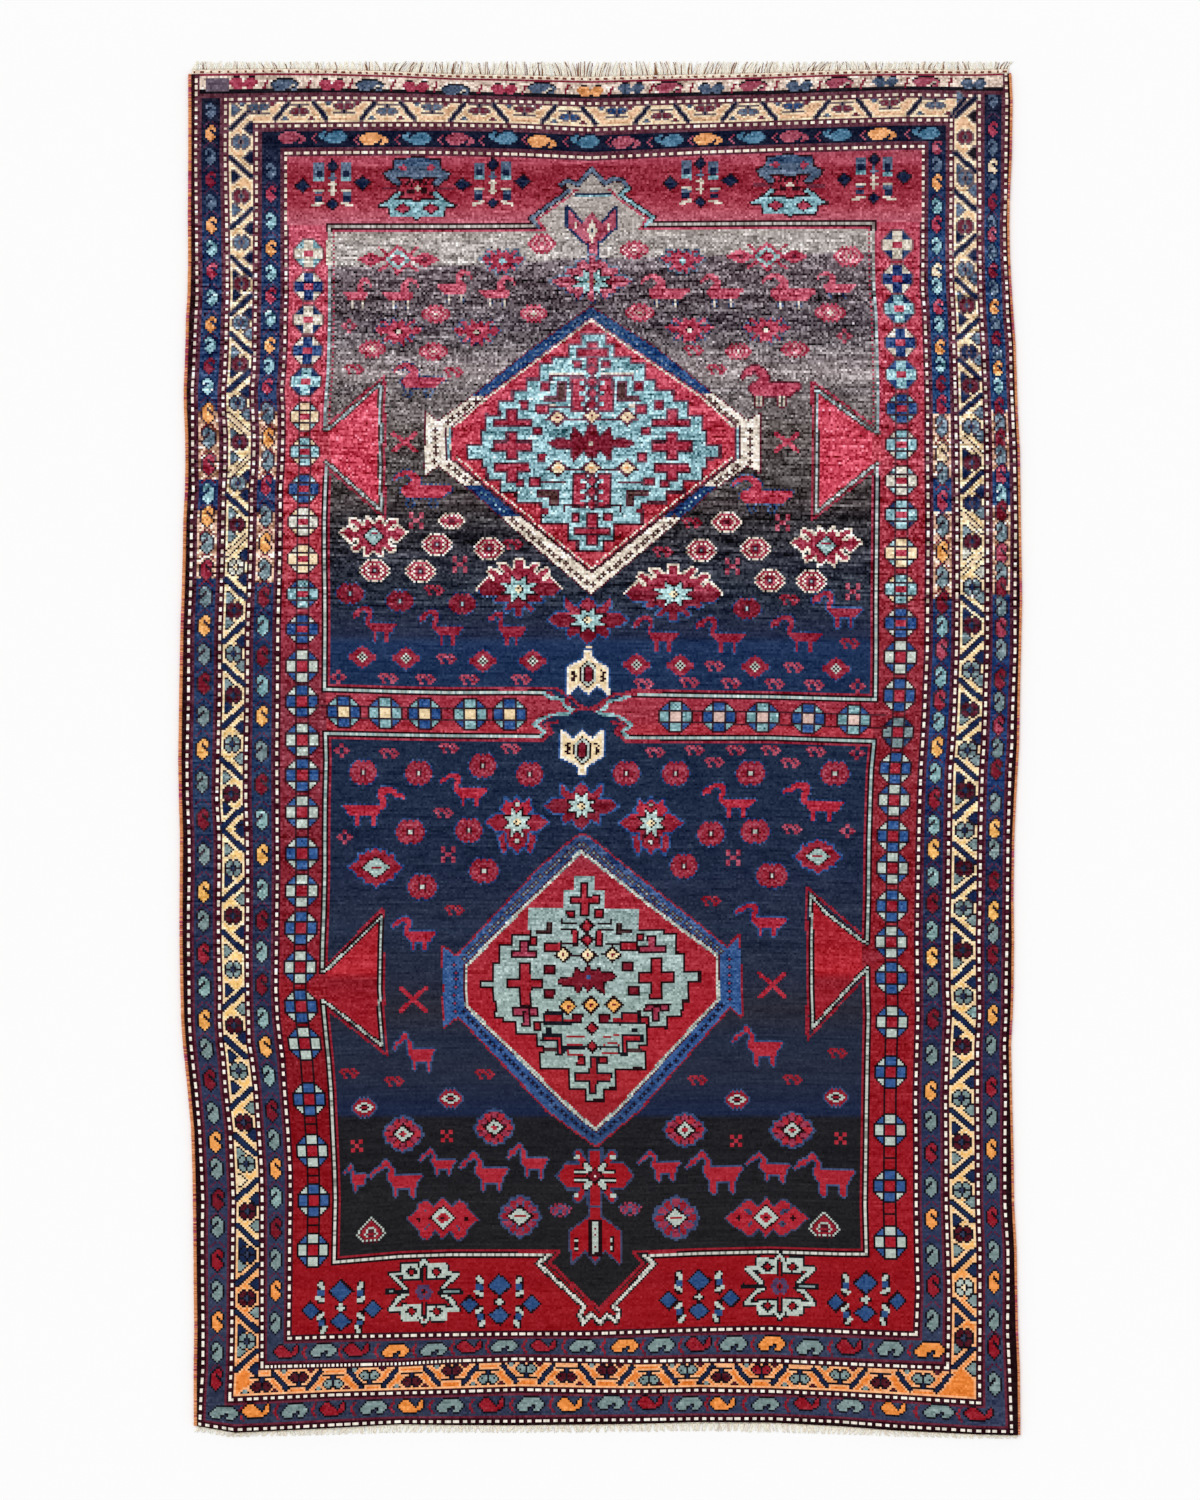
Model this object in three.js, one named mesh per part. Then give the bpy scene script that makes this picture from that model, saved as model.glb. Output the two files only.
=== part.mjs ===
// A hand-knotted wool rug lying flat on a floor.
// Millimetres. +X runs across the rug, +Y along it towards its upper end, +Z up, and z = 0 is the floor.
// The knotted cloth is one slab with a wandering outline. A wound wool selvedge runs along each side,
// and each end has a narrow woven strip whose warp ends stand out as a short fringe.
import * as THREE from 'three';

const PILE_THICKNESS = 8;
const PILE_SHOULDER = 1.8;
const SELVEDGE_WIDTH = 7.5;
const SELVEDGE_HEIGHT = 7;
const SEWN_GAP = 0.3;

const FRINGE_THICKNESS = 2.5;
const STRANDS_PER_END = 140;
const STRAND_ROOT_WIDTH = 4.6;
const STRAND_TIP_WIDTH = 2.4;
const TOP_STRIP_WIDTH = 9.5;
const BOTTOM_STRIP_WIDTH = 3;

// What a strand falls short of the fringe's line and leans sideways by, taken in turn along the end
const STRAND_SHORTFALLS = [0, 3.2, 1.1, 4.6, 2.0, 5.4, 0.7];
const STRAND_LEANS = [0.5, -1.3, 1.5, -0.3, 1.0];

// Distance of each side's outer edge from the rug's middle line
const sideRows = [
  { y: -1142, left: 683.0, right: 706.7 },
  { y: -1050, left: 683.7, right: 706.1 },
  { y: -966, left: 682.5, right: 702.4 },
  { y: -840, left: 684.2, right: 700.3 },
  { y: -756, left: 684.9, right: 695.9 },
  { y: -672, left: 686.2, right: 694.9 },
  { y: -588, left: 692.1, right: 692.7 },
  { y: -546, left: 697.1, right: 691.1 },
  { y: -504, left: 702.5, right: 690.7 },
  { y: -420, left: 705.5, right: 694.9 },
  { y: -336, left: 707.2, right: 695.9 },
  { y: -252, left: 707.2, right: 694.9 },
  { y: -168, left: 706.7, right: 695.9 },
  { y: -84, left: 707.9, right: 699.6 },
  { y: 0, left: 709.5, right: 704.5 },
  { y: 84, left: 708.2, right: 705.7 },
  { y: 168, left: 707.0, right: 707.7 },
  { y: 252, left: 703.8, right: 709.5 },
  { y: 336, left: 701.7, right: 708.4 },
  { y: 420, left: 698.5, right: 706.7 },
  { y: 504, left: 697.5, right: 705.7 },
  { y: 588, left: 700.8, right: 701.3 },
  { y: 672, left: 698.8, right: 699.2 },
  { y: 756, left: 695.3, right: 692.4 },
  { y: 840, left: 692.4, right: 688.6 },
  { y: 924, left: 692.1, right: 688.1 },
  { y: 1050, left: 692.4, right: 693.8 },
  { y: 1140, left: 692.4, right: 690.2 },
];

// Where the pile ends and where the fringe's line lies, at the upper and at the lower end
const endRows = [
  { x: -689, topPile: 1135.7, topTips: 1160, bottomPile: -1131.5, bottomTips: -1147.5 },
  { x: -613, topPile: 1136.7, topTips: 1160, bottomPile: -1147.4, bottomTips: -1157.5 },
  { x: -555, topPile: 1137.4, topTips: 1160, bottomPile: -1144.4, bottomTips: -1156.7 },
  { x: -454, topPile: 1136.4, topTips: 1160, bottomPile: -1139.5, bottomTips: -1154.2 },
  { x: -336, topPile: 1132.8, topTips: 1160, bottomPile: -1133.2, bottomTips: -1150.0 },
  { x: -252, topPile: 1129.0, topTips: 1160, bottomPile: -1134.3, bottomTips: -1150.0 },
  { x: -135, topPile: 1126.6, topTips: 1160, bottomPile: -1135.0, bottomTips: -1150.8 },
  { x: -17, topPile: 1123.9, topTips: 1160, bottomPile: -1133.3, bottomTips: -1150.0 },
  { x: 67, topPile: 1126.3, topTips: 1160, bottomPile: -1132.3, bottomTips: -1149.1 },
  { x: 168, topPile: 1128.1, topTips: 1160, bottomPile: -1129.3, bottomTips: -1147.5 },
  { x: 285, topPile: 1130.6, topTips: 1160, bottomPile: -1130.3, bottomTips: -1148.3 },
  { x: 403, topPile: 1135.2, topTips: 1160, bottomPile: -1136.5, bottomTips: -1152.5 },
  { x: 504, topPile: 1136.2, topTips: 1160, bottomPile: -1144.1, bottomTips: -1156.7 },
  { x: 630, topPile: 1135.3, topTips: 1160, bottomPile: -1150.0, bottomTips: -1160 },
  { x: 692, topPile: 1137.4, topTips: 1160, bottomPile: -1151.4, bottomTips: -1160 },
];

// Reads one column of a table between its rows, along a smooth curve that keeps within them
function smoothColumn(rows, placeName, valueName) {
  const places = rows.map((row) => row[placeName]);
  const values = rows.map((row) => row[valueName]);
  const grades = places.slice(1).map((place, i) => (values[i + 1] - values[i]) / (place - places[i]));
  const slopes = places.map((place, i) => {
    const before = grades[i - 1] ?? 0;
    const after = grades[i] ?? 0;
    return before * after > 0 ? (2 * before * after) / (before + after) : 0;
  });
  return (place) => {
    const at = THREE.MathUtils.clamp(place, places[0], places.at(-1));
    const i = Math.max(0, places.findIndex((next) => next >= at) - 1);
    const span = places[i + 1] - places[i];
    const t = (at - places[i]) / span;
    const startShare = (1 + 2 * t) * (1 - t) ** 2;
    const endShare = t * t * (3 - 2 * t);
    const startPull = t * (1 - t) ** 2 * span;
    const endPull = t * t * (t - 1) * span;
    return startShare * values[i] + endShare * values[i + 1] + startPull * slopes[i] + endPull * slopes[i + 1];
  };
}

// The places of a table's rows, with the places halfway between them
function rowsAndHalfways(rows, placeName) {
  const places = rows.map((row) => row[placeName]);
  return places.flatMap((place, i) => (i === 0 ? [place] : [(places[i - 1] + place) / 2, place]));
}

const leftEdge = smoothColumn(sideRows, 'y', 'left');
const rightEdge = smoothColumn(sideRows, 'y', 'right');
const topPile = smoothColumn(endRows, 'x', 'topPile');
const topTips = smoothColumn(endRows, 'x', 'topTips');
const bottomPile = smoothColumn(endRows, 'x', 'bottomPile');
const bottomTips = smoothColumn(endRows, 'x', 'bottomTips');

// The pile's own sides lie inside the selvedges
const PILE_INSET = SELVEDGE_WIDTH + SEWN_GAP;
const pileLeft = (y) => -leftEdge(y) + PILE_INSET;
const pileRight = (y) => rightEdge(y) - PILE_INSET;

// The pile's four corners
const topY = endRows.at(-1).topPile;
const corners = {
  topLeft: new THREE.Vector2(pileLeft(topY), topPile(pileLeft(topY))),
  topRight: new THREE.Vector2(pileRight(topY), topPile(pileRight(topY))),
  bottomLeft: new THREE.Vector2(pileLeft(-topY), bottomPile(pileLeft(-topY))),
  bottomRight: new THREE.Vector2(pileRight(-topY), bottomPile(pileRight(-topY))),
};

const sidePlaces = rowsAndHalfways(sideRows, 'y');
const endPlaces = rowsAndHalfways(endRows, 'x');

// The places strictly between two ends of a run, from low to high
function placesBetween(places, low, high) {
  const margin = 6;
  return places.filter((place) => place > low + margin && place < high - margin);
}

// The pile's outline, anticlockwise from its lower left corner
function pileOutline() {
  const { topLeft, topRight, bottomLeft, bottomRight } = corners;
  const bottom = placesBetween(endPlaces, bottomLeft.x, bottomRight.x);
  const right = placesBetween(sidePlaces, bottomRight.y, topRight.y);
  const top = placesBetween(endPlaces, topLeft.x, topRight.x).reverse();
  const left = placesBetween(sidePlaces, bottomLeft.y, topLeft.y).reverse();
  return [
    bottomLeft,
    ...bottom.map((x) => new THREE.Vector2(x, bottomPile(x))),
    bottomRight,
    ...right.map((y) => new THREE.Vector2(pileRight(y), y)),
    topRight,
    ...top.map((x) => new THREE.Vector2(x, topPile(x))),
    topLeft,
    ...left.map((y) => new THREE.Vector2(pileLeft(y), y)),
  ];
}

// Moves each point of an anticlockwise outline inwards
function insetOutline(outline, distance) {
  return outline.map((point, i) => {
    const before = outline.at(i - 1);
    const after = outline[(i + 1) % outline.length];
    const into = point.clone().sub(before).normalize();
    const onward = after.clone().sub(point).normalize();
    const inward = new THREE.Vector2(-into.y - onward.y, into.x + onward.x).normalize();
    const squareness = inward.dot(new THREE.Vector2(-into.y, into.x));
    return point.clone().addScaledVector(inward, distance / squareness);
  });
}

// A closed solid over a run of rings with the same number of points, capped at its first and last ring.
// Each ring goes anticlockwise when seen from the last ring's side.
function ringSolid(rings, capOutline) {
  const count = rings[0].length;
  const positions = rings.flatMap((ring) => ring.flatMap((point) => [point.x, point.y, point.z]));
  const indices = [];
  for (let level = 0; level < rings.length - 1; level += 1) {
    for (let i = 0; i < count; i += 1) {
      const here = level * count + i;
      const next = level * count + ((i + 1) % count);
      indices.push(here, next, next + count, here, next + count, here + count);
    }
  }
  const lastRing = (rings.length - 1) * count;
  for (const [a, b, c] of THREE.ShapeUtils.triangulateShape(capOutline, [])) {
    indices.push(a, c, b, lastRing + a, lastRing + b, lastRing + c);
  }
  const geometry = new THREE.BufferGeometry();
  geometry.setAttribute('position', new THREE.Float32BufferAttribute(positions, 3));
  geometry.setIndex(indices);
  geometry.computeVertexNormals();
  return geometry;
}

// The knotted cloth: square at the floor, with the pile's upper edge eased
function pileGeometry() {
  const outline = pileOutline();
  const eased = insetOutline(outline, PILE_SHOULDER);
  const level = (points, z) => points.map((point) => new THREE.Vector3(point.x, point.y, z));
  const rings = [
    level(outline, 0),
    level(outline, PILE_THICKNESS - PILE_SHOULDER),
    level(eased, PILE_THICKNESS),
  ];
  return ringSolid(rings, outline);
}

// A selvedge's section as shares of its width, inwards from the outer edge, and of its height
const selvedgeSection = [
  { inward: 0, up: 0.3 },
  { inward: 0.16, up: 0 },
  { inward: 1, up: 0 },
  { inward: 1, up: 0.62 },
  { inward: 0.7, up: 1 },
  { inward: 0.24, up: 0.9 },
];

// The wound wool along one side, which follows that side's outline. side is -1 at the left, 1 at the right.
function selvedgeGeometry(side) {
  const edge = side < 0 ? leftEdge : rightEdge;
  const bottom = side < 0 ? corners.bottomLeft.y : corners.bottomRight.y;
  const top = side < 0 ? corners.topLeft.y : corners.topRight.y;
  const places = [bottom, ...placesBetween(sidePlaces, bottom, top), top];
  const section = side < 0 ? selvedgeSection : [...selvedgeSection].reverse();
  const rings = places.map((y) => section.map(({ inward, up }) => (
    new THREE.Vector3(side * (edge(y) - inward * SELVEDGE_WIDTH), y, up * SELVEDGE_HEIGHT)
  )));
  const capOutline = section.map(({ inward, up }) => new THREE.Vector2(-side * inward, up));
  rings.reverse();
  return ringSolid(rings, capOutline);
}

// The strip at one end with its strands, as a comb lying on the floor. side is 1 at the top, -1 below.
function fringeGeometry(side) {
  const isTop = side > 0;
  const pile = isTop ? topPile : bottomPile;
  const tips = isTop ? topTips : bottomTips;
  const stripWidth = isTop ? TOP_STRIP_WIDTH : BOTTOM_STRIP_WIDTH;
  const left = isTop ? corners.topLeft.x : corners.bottomLeft.x;
  const right = isTop ? corners.topRight.x : corners.bottomRight.x;
  const inner = (x) => new THREE.Vector2(x, pile(x) + side * SEWN_GAP);
  const outer = (x) => new THREE.Vector2(x, pile(x) + side * (SEWN_GAP + stripWidth));

  const pitch = (right - left) / STRANDS_PER_END;
  const strandPoints = Array.from({ length: STRANDS_PER_END }, (_, i) => {
    const middle = left + (i + 0.5) * pitch;
    const lean = STRAND_LEANS[i % STRAND_LEANS.length];
    const tip = tips(middle) - side * STRAND_SHORTFALLS[i % STRAND_SHORTFALLS.length];
    return [
      outer(middle - STRAND_ROOT_WIDTH / 2),
      new THREE.Vector2(middle + lean - STRAND_TIP_WIDTH / 2, tip),
      new THREE.Vector2(middle + lean + STRAND_TIP_WIDTH / 2, tip),
      outer(middle + STRAND_ROOT_WIDTH / 2),
    ];
  });

  const innerPlaces = [left, ...placesBetween(endPlaces, left, right), right];
  const outline = [
    ...innerPlaces.map(inner),
    outer(right),
    ...strandPoints.flat().reverse(),
    outer(left),
  ];
  return new THREE.ExtrudeGeometry(new THREE.Shape(outline), {
    depth: FRINGE_THICKNESS,
    bevelEnabled: false,
  });
}

const pileWool = new THREE.MeshStandardMaterial({ color: 0x7c2733, roughness: 0.92, metalness: 0 });
const selvedgeWool = new THREE.MeshStandardMaterial({ color: 0xc4733f, roughness: 0.85, metalness: 0 });
const warpYarn = new THREE.MeshStandardMaterial({ color: 0xe9d9bb, roughness: 0.85, metalness: 0 });

function namedMesh(name, geometry, material) {
  const mesh = new THREE.Mesh(geometry, material);
  mesh.name = name;
  return mesh;
}

const rug = new THREE.Group();
rug.add(
  namedMesh('pile_rug', pileGeometry(), pileWool),
  namedMesh('selvedge_left', selvedgeGeometry(-1), selvedgeWool),
  namedMesh('selvedge_right', selvedgeGeometry(1), selvedgeWool),
  namedMesh('fringe_top', fringeGeometry(1), warpYarn),
  namedMesh('fringe_bottom', fringeGeometry(-1), warpYarn),
);

export default rug;
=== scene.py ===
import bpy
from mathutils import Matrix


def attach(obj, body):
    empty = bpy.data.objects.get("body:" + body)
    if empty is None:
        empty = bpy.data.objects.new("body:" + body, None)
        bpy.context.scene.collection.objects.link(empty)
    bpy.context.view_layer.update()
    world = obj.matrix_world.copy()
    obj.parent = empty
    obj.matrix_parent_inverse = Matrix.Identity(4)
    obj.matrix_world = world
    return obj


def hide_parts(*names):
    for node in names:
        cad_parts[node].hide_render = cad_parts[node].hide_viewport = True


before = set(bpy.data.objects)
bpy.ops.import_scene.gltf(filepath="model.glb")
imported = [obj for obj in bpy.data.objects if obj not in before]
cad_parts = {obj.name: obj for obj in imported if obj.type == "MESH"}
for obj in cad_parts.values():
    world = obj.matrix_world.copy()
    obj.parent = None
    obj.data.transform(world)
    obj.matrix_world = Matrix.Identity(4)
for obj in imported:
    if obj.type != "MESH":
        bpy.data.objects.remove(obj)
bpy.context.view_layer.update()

# A hand-knotted wool rug, charted knot by knot. Its pile is a grid of knots whose rows and columns
# wander as woven, each knot one small face with its own wool.
# Places on the rug's face are in chart units, rightwards and down from the chart's corner as in the photo.
# Meshes are in metres.
from types import SimpleNamespace

import bpy
import numpy as np

CHART_UNIT = 0.00168
CHART_HEIGHT = 1500
CHART_MIDDLE_X = 600
MIDDLE_X = 600.15
MIDDLE_Y = 750.0
KNOT = 2.06

PILE_TOP = 0.0068
BACK_HEIGHT = 0.0006
SELVEDGE_LEFT_WIDTH = 3.8
SELVEDGE_RIGHT_WIDTH = 2.9
BEAD_HALF_WIDTH = 1.35

random = np.random.default_rng(7)


def rows_of(text):
    """The rows of a table in text, whose first line names the columns."""
    head, *lines = [line.split() for line in text.strip().splitlines()]
    return [SimpleNamespace(**dict(zip(head, map(float, line)))) for line in lines]


def places_of(text):
    """The rows of such a table as tuples, in the order of its columns."""
    return [tuple(vars(row).values()) for row in rows_of(text)]


def column(rows, name):
    return np.array([getattr(row, name) for row in rows])


# Where the columns of knots run: the rug's left edge, four beaded lines and the field's frame
left_guides = rows_of("""
    y    edge  bead1 bead2 bead3 bead4 frame
    60   187.7 196.3 225.6 256.5 286.5 329.4
    110  187.9 196.1 225.5 256.5 286   329.4
    155  187.9 195.6 225   256.5 285.7 329.4
    220  187.5 196.4 226.5 256.5 285.7 329.2
    262  187.8 196.7 227   256   286   329.4
    295  187.1 197.1 227.3 255.8 286   329.4
    318  185.6 195.8 226.4 255.2 285.1 329.4
    345  185.1 194.6 226   255.1 284.8 328.8
    375  184   193.3 224.4 254.1 283   327.8
    390  183.3 192.2 223   252.4 281.5 326.4
    410  183.6 192.6 223.1 252.8 282.8 325
    435  184.8 192.6 225   254.3 282.8 324.3
    465  185   192.6 224.8 253.7 281.9 326.2
    490  184.6 193.3 223.5 251.5 280.2 325.2
    520  183   191.4 222.8 251.5 280.2 324.3
    560  182.3 191.2 222   250.5 279.6 324.3
    590  181.4 190.6 221.1 249.4 278.7 324.8
    630  180   188.7 219.7 247.7 277.7 324.9
    700  178.7 188.4 219.3 247.3 277.3 324.4
    760  177.9 186.8 217.6 246.1 276.7 326.2
    800  178.5 187.4 216.7 245.8 277.1 325.2
    835  179.6 189   219   247.3 277.1 324.9
    870  179.4 189.4 219   247.7 277.4 324.9
    910  179.2 188.4 218.4 247.7 276.8 324
    945  179.2 188.4 218.4 247.1 276.4 322.6
    990  180   189   219.7 247.7 275.8 321.8
    1020 180.8 189.3 219.3 248.6 277.4 324.6
    1043 182.4 190.7 221   249.2 280.2 326.8
    1057 183.8 192.2 222.8 251.9 282.3 328.3
    1090 187.2 196.1 225.4 256.2 284.4 330.9
    1130 190.8 199.5 229.9 258.9 287.7 332.7
    1170 192   201.5 231.8 261.5 290   334.6
    1200 192.5 202.8 233.3 262.1 290.3 335.4
    1235 193   202.2 232.8 262.1 289.6 334.6
    1290 193.4 202.5 232   262.1 289.3 333.6
    1330 193.9 203   231.8 262.1 288.6 333
    1370 193.3 202.8 231   262   289   333
    1395 193.3 201   229.8 262   289   333
    1440 193.6 199   229.5 262   289   333
""")

right_guides = rows_of("""
    y    frame bead4 bead3 bead2 bead1  edge
    60   873.5 923.3 951.4 979.5 1005.5 1011
    100  873.5 923.3 951.4 979.5 1006.9 1013
    155  873.5 923.3 951   979.5 1006   1012.2
    200  873.5 923.2 951   980   1005.5 1010
    225  873.5 923   950.5 979.7 1004.3 1009.7
    256  873.5 923   950.6 980   1004.9 1010.3
    288  874   922.6 951.3 980.6 1006.8 1012
    315  876.2 925   953   981.6 1007.6 1013.8
    345  877   926   953.8 983.6 1010.4 1016
    385  878   927.2 955   985.4 1011.3 1017.3
    410  878   927.7 955.6 986.4 1012.5 1018
    450  877.5 927.5 956.4 987.2 1014.2 1020.2
    520  876.7 928.3 957   987.6 1015.7 1021.2
    600  876   927.7 957   987.6 1015   1022.5
    650  876   927.3 956.5 987.4 1015.2 1021.4
    690  875.6 925.5 955   986   1013.5 1020.4
    715  875   924.5 954   985.4 1012.5 1020
    745  873.8 922.6 952.2 984   1011.9 1019.5
    770  871.3 921   950   982.4 1010   1018
    797  870.3 920   949.3 981.6 1009.3 1016.6
    840  869   918.8 948.7 980.6 1008   1014.6
    900  868.4 917.7 947.7 980   1007.4 1013.8
    940  867.2 917   946.8 979   1007   1014.4
    990  867.5 917.7 947.3 979.4 1006   1013.8
    1016 868.3 918   948.7 979.6 1006   1013
    1045 867.5 917   947   977.6 1004.3 1011.3
    1100 866.5 915.5 945.5 977.4 1005.5 1012.5
    1150 865.8 916.2 946   978   1004.8 1013.8
    1205 865   916.2 946.2 978.4 1005   1014.6
    1250 866.3 917   947.6 980   1008   1017
    1290 866.5 918.2 948.9 980   1008.2 1017.6
    1330 866.5 916.3 948.5 980   1007.5 1018.4
    1370 866.5 916.3 947.6 979.5 1009.4 1020.2
    1440 866.5 916.3 948   980   1012   1020.8
""")

# Where the rows of knots run: the pile's ends, the beaded lines and the straight lines of the field's frame
row_guides = rows_of("""
    x    top  bead2 bead3 bead4 panel band  belt  field  low4   low3   low2   low1   bottom
    190  74   99.5  126.3 153.5 226.5 689   733.5 1263.5 1340   1368   1401   1422.6 1425
    235  73.4 99.3  126.2 153.4 226.5 689   733.5 1263.5 1339.5 1367.5 1399.8 1429.8 1433
    270  73   98.5  126.1 153.4 226.5 689   733.5 1263.3 1339   1366.6 1398   1428.3 1431.2
    330  73.6 97.7  125.5 152.6 226.5 689.4 733.5 1262.6 1337   1365.3 1395   1425   1428.3
    400  75.7 98.5  125.1 152.3 226.5 691.6 735   1256.5 1335.6 1363.7 1393   1421.6 1424.5
    450  78   99.8  125.1 152.6 226.5 692.6 735.8 1254.7 1334.8 1361   1391.8 1421.7 1425.2
    520  79.4 101.7 126.6 154.2 226   692.3 736.4 1254.7 1333.9 1359   1389.6 1421.3 1425.6
    590  81   103.5 130   157.7 225   693.4 737.3 1255.3 1333.8 1360.2 1391   1420   1424.6
    640  79.6 102.6 128   155.3 224.3 694.5 737.9 1256   1332   1361.4 1391.5 1419.7 1424
    700  78.5 101   126.2 152.3 224   695.7 737.9 1253.5 1329.8 1359.9 1390   1418.6 1422.2
    770  77   99.5  124   149.8 223.4 696.8 737.9 1251.8 1328.5 1360.3 1391.3 1418.6 1422.8
    840  74.3 96.8  121.7 148.2 223.3 698.8 740.3 1254   1331.5 1363.4 1394.2 1421.8 1426.5
    900  73.7 94.4  120   146.3 223.3 700   742   1254.5 1334.2 1366.2 1397.8 1426.5 1431
    975  74.2 95.7  120   146.3 223.3 700   742   1254.5 1336   1369   1402.8 1431   1434.5
    1012 73   96    120   146.3 223.3 700   742   1254.5 1337   1370   1404   1431.6 1435.4
""")

# The guides' places counted in knots. A beaded line is one knot wide, a little wider than the others.
COLUMN_OF = dict(bead1=2, bead2=16, bead3=30, bead4=44, frame=67)
RIGHT_COLUMN_OF = dict(frame=332, bead4=357, bead3=371, bead2=385, bead1=399)
ROW_OF = dict(bead2=11, bead3=24, bead4=37, panel=72, band=296, belt=318, field=574,
              low4=611, low3=625, low2=640, low1=654)
COLUMNS = 402
ROWS = 657


def guide_lines(edge_places, line_places, rows, along, half_width):
    """Pairs of a place in knots and that line's course in chart units, with two for each side of a line."""
    courses = [(place, column(rows, name)) for name, place in edge_places.items()]
    for name, place in line_places.items():
        middle = column(rows, name)
        courses += [(place, middle - half_width), (place + 1, middle + half_width)]
    return [(place, column(rows, along), course) for place, course in courses]


LEFT_LINES = guide_lines({}, COLUMN_OF, left_guides, "y", BEAD_HALF_WIDTH)
RIGHT_LINES = guide_lines({}, RIGHT_COLUMN_OF, right_guides, "y", BEAD_HALF_WIDTH)
LEFT_EDGE = [(0, column(left_guides, "y"), column(left_guides, "edge") + SELVEDGE_LEFT_WIDTH)]
RIGHT_EDGE = [(COLUMNS, column(right_guides, "y"), column(right_guides, "edge") - SELVEDGE_RIGHT_WIDTH)]
COLUMN_LINES = sorted(LEFT_EDGE + LEFT_LINES + RIGHT_LINES + RIGHT_EDGE, key=lambda line: line[0])
ROW_LINES = sorted(guide_lines(dict(top=0, bottom=ROWS), ROW_OF, row_guides, "x", BEAD_HALF_WIDTH),
                   key=lambda line: line[0])


def between_lines(lines, places, along):
    """The chart place of every knot corner across the guide lines."""
    result = np.empty_like(along)
    for (start, start_along, start_course), (end, end_along, end_course) in zip(lines, lines[1:]):
        inside = (places >= start) & (places <= end)
        share = (places[inside] - start) / (end - start)
        first = np.interp(along[inside], start_along, start_course)
        last = np.interp(along[inside], end_along, end_course)
        result[inside] = first + (last - first) * share
    return result


# Where the even grid starts that the guide lines then bend
FIRST_X = 190
FIRST_Y = 74


def knot_corners():
    """Chart places of all knot corners, as arrays of x and y with a row for each line between knot rows."""
    down, across = np.mgrid[0:ROWS + 1, 0:COLUMNS + 1].astype(float)
    x = FIRST_X + across * KNOT
    y = FIRST_Y + down * KNOT
    for _ in range(4):
        y = between_lines(ROW_LINES, down, x)
        x = between_lines(COLUMN_LINES, across, y)
    return x, y


corner_x, corner_y = knot_corners()
knot_x = (corner_x[:-1, :-1] + corner_x[1:, 1:]) / 2
knot_y = (corner_y[:-1, :-1] + corner_y[1:, 1:]) / 2
knot_column = np.broadcast_to(np.arange(COLUMNS), (ROWS, COLUMNS))
knot_row = np.broadcast_to(np.arange(ROWS)[:, None], (ROWS, COLUMNS))

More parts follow.
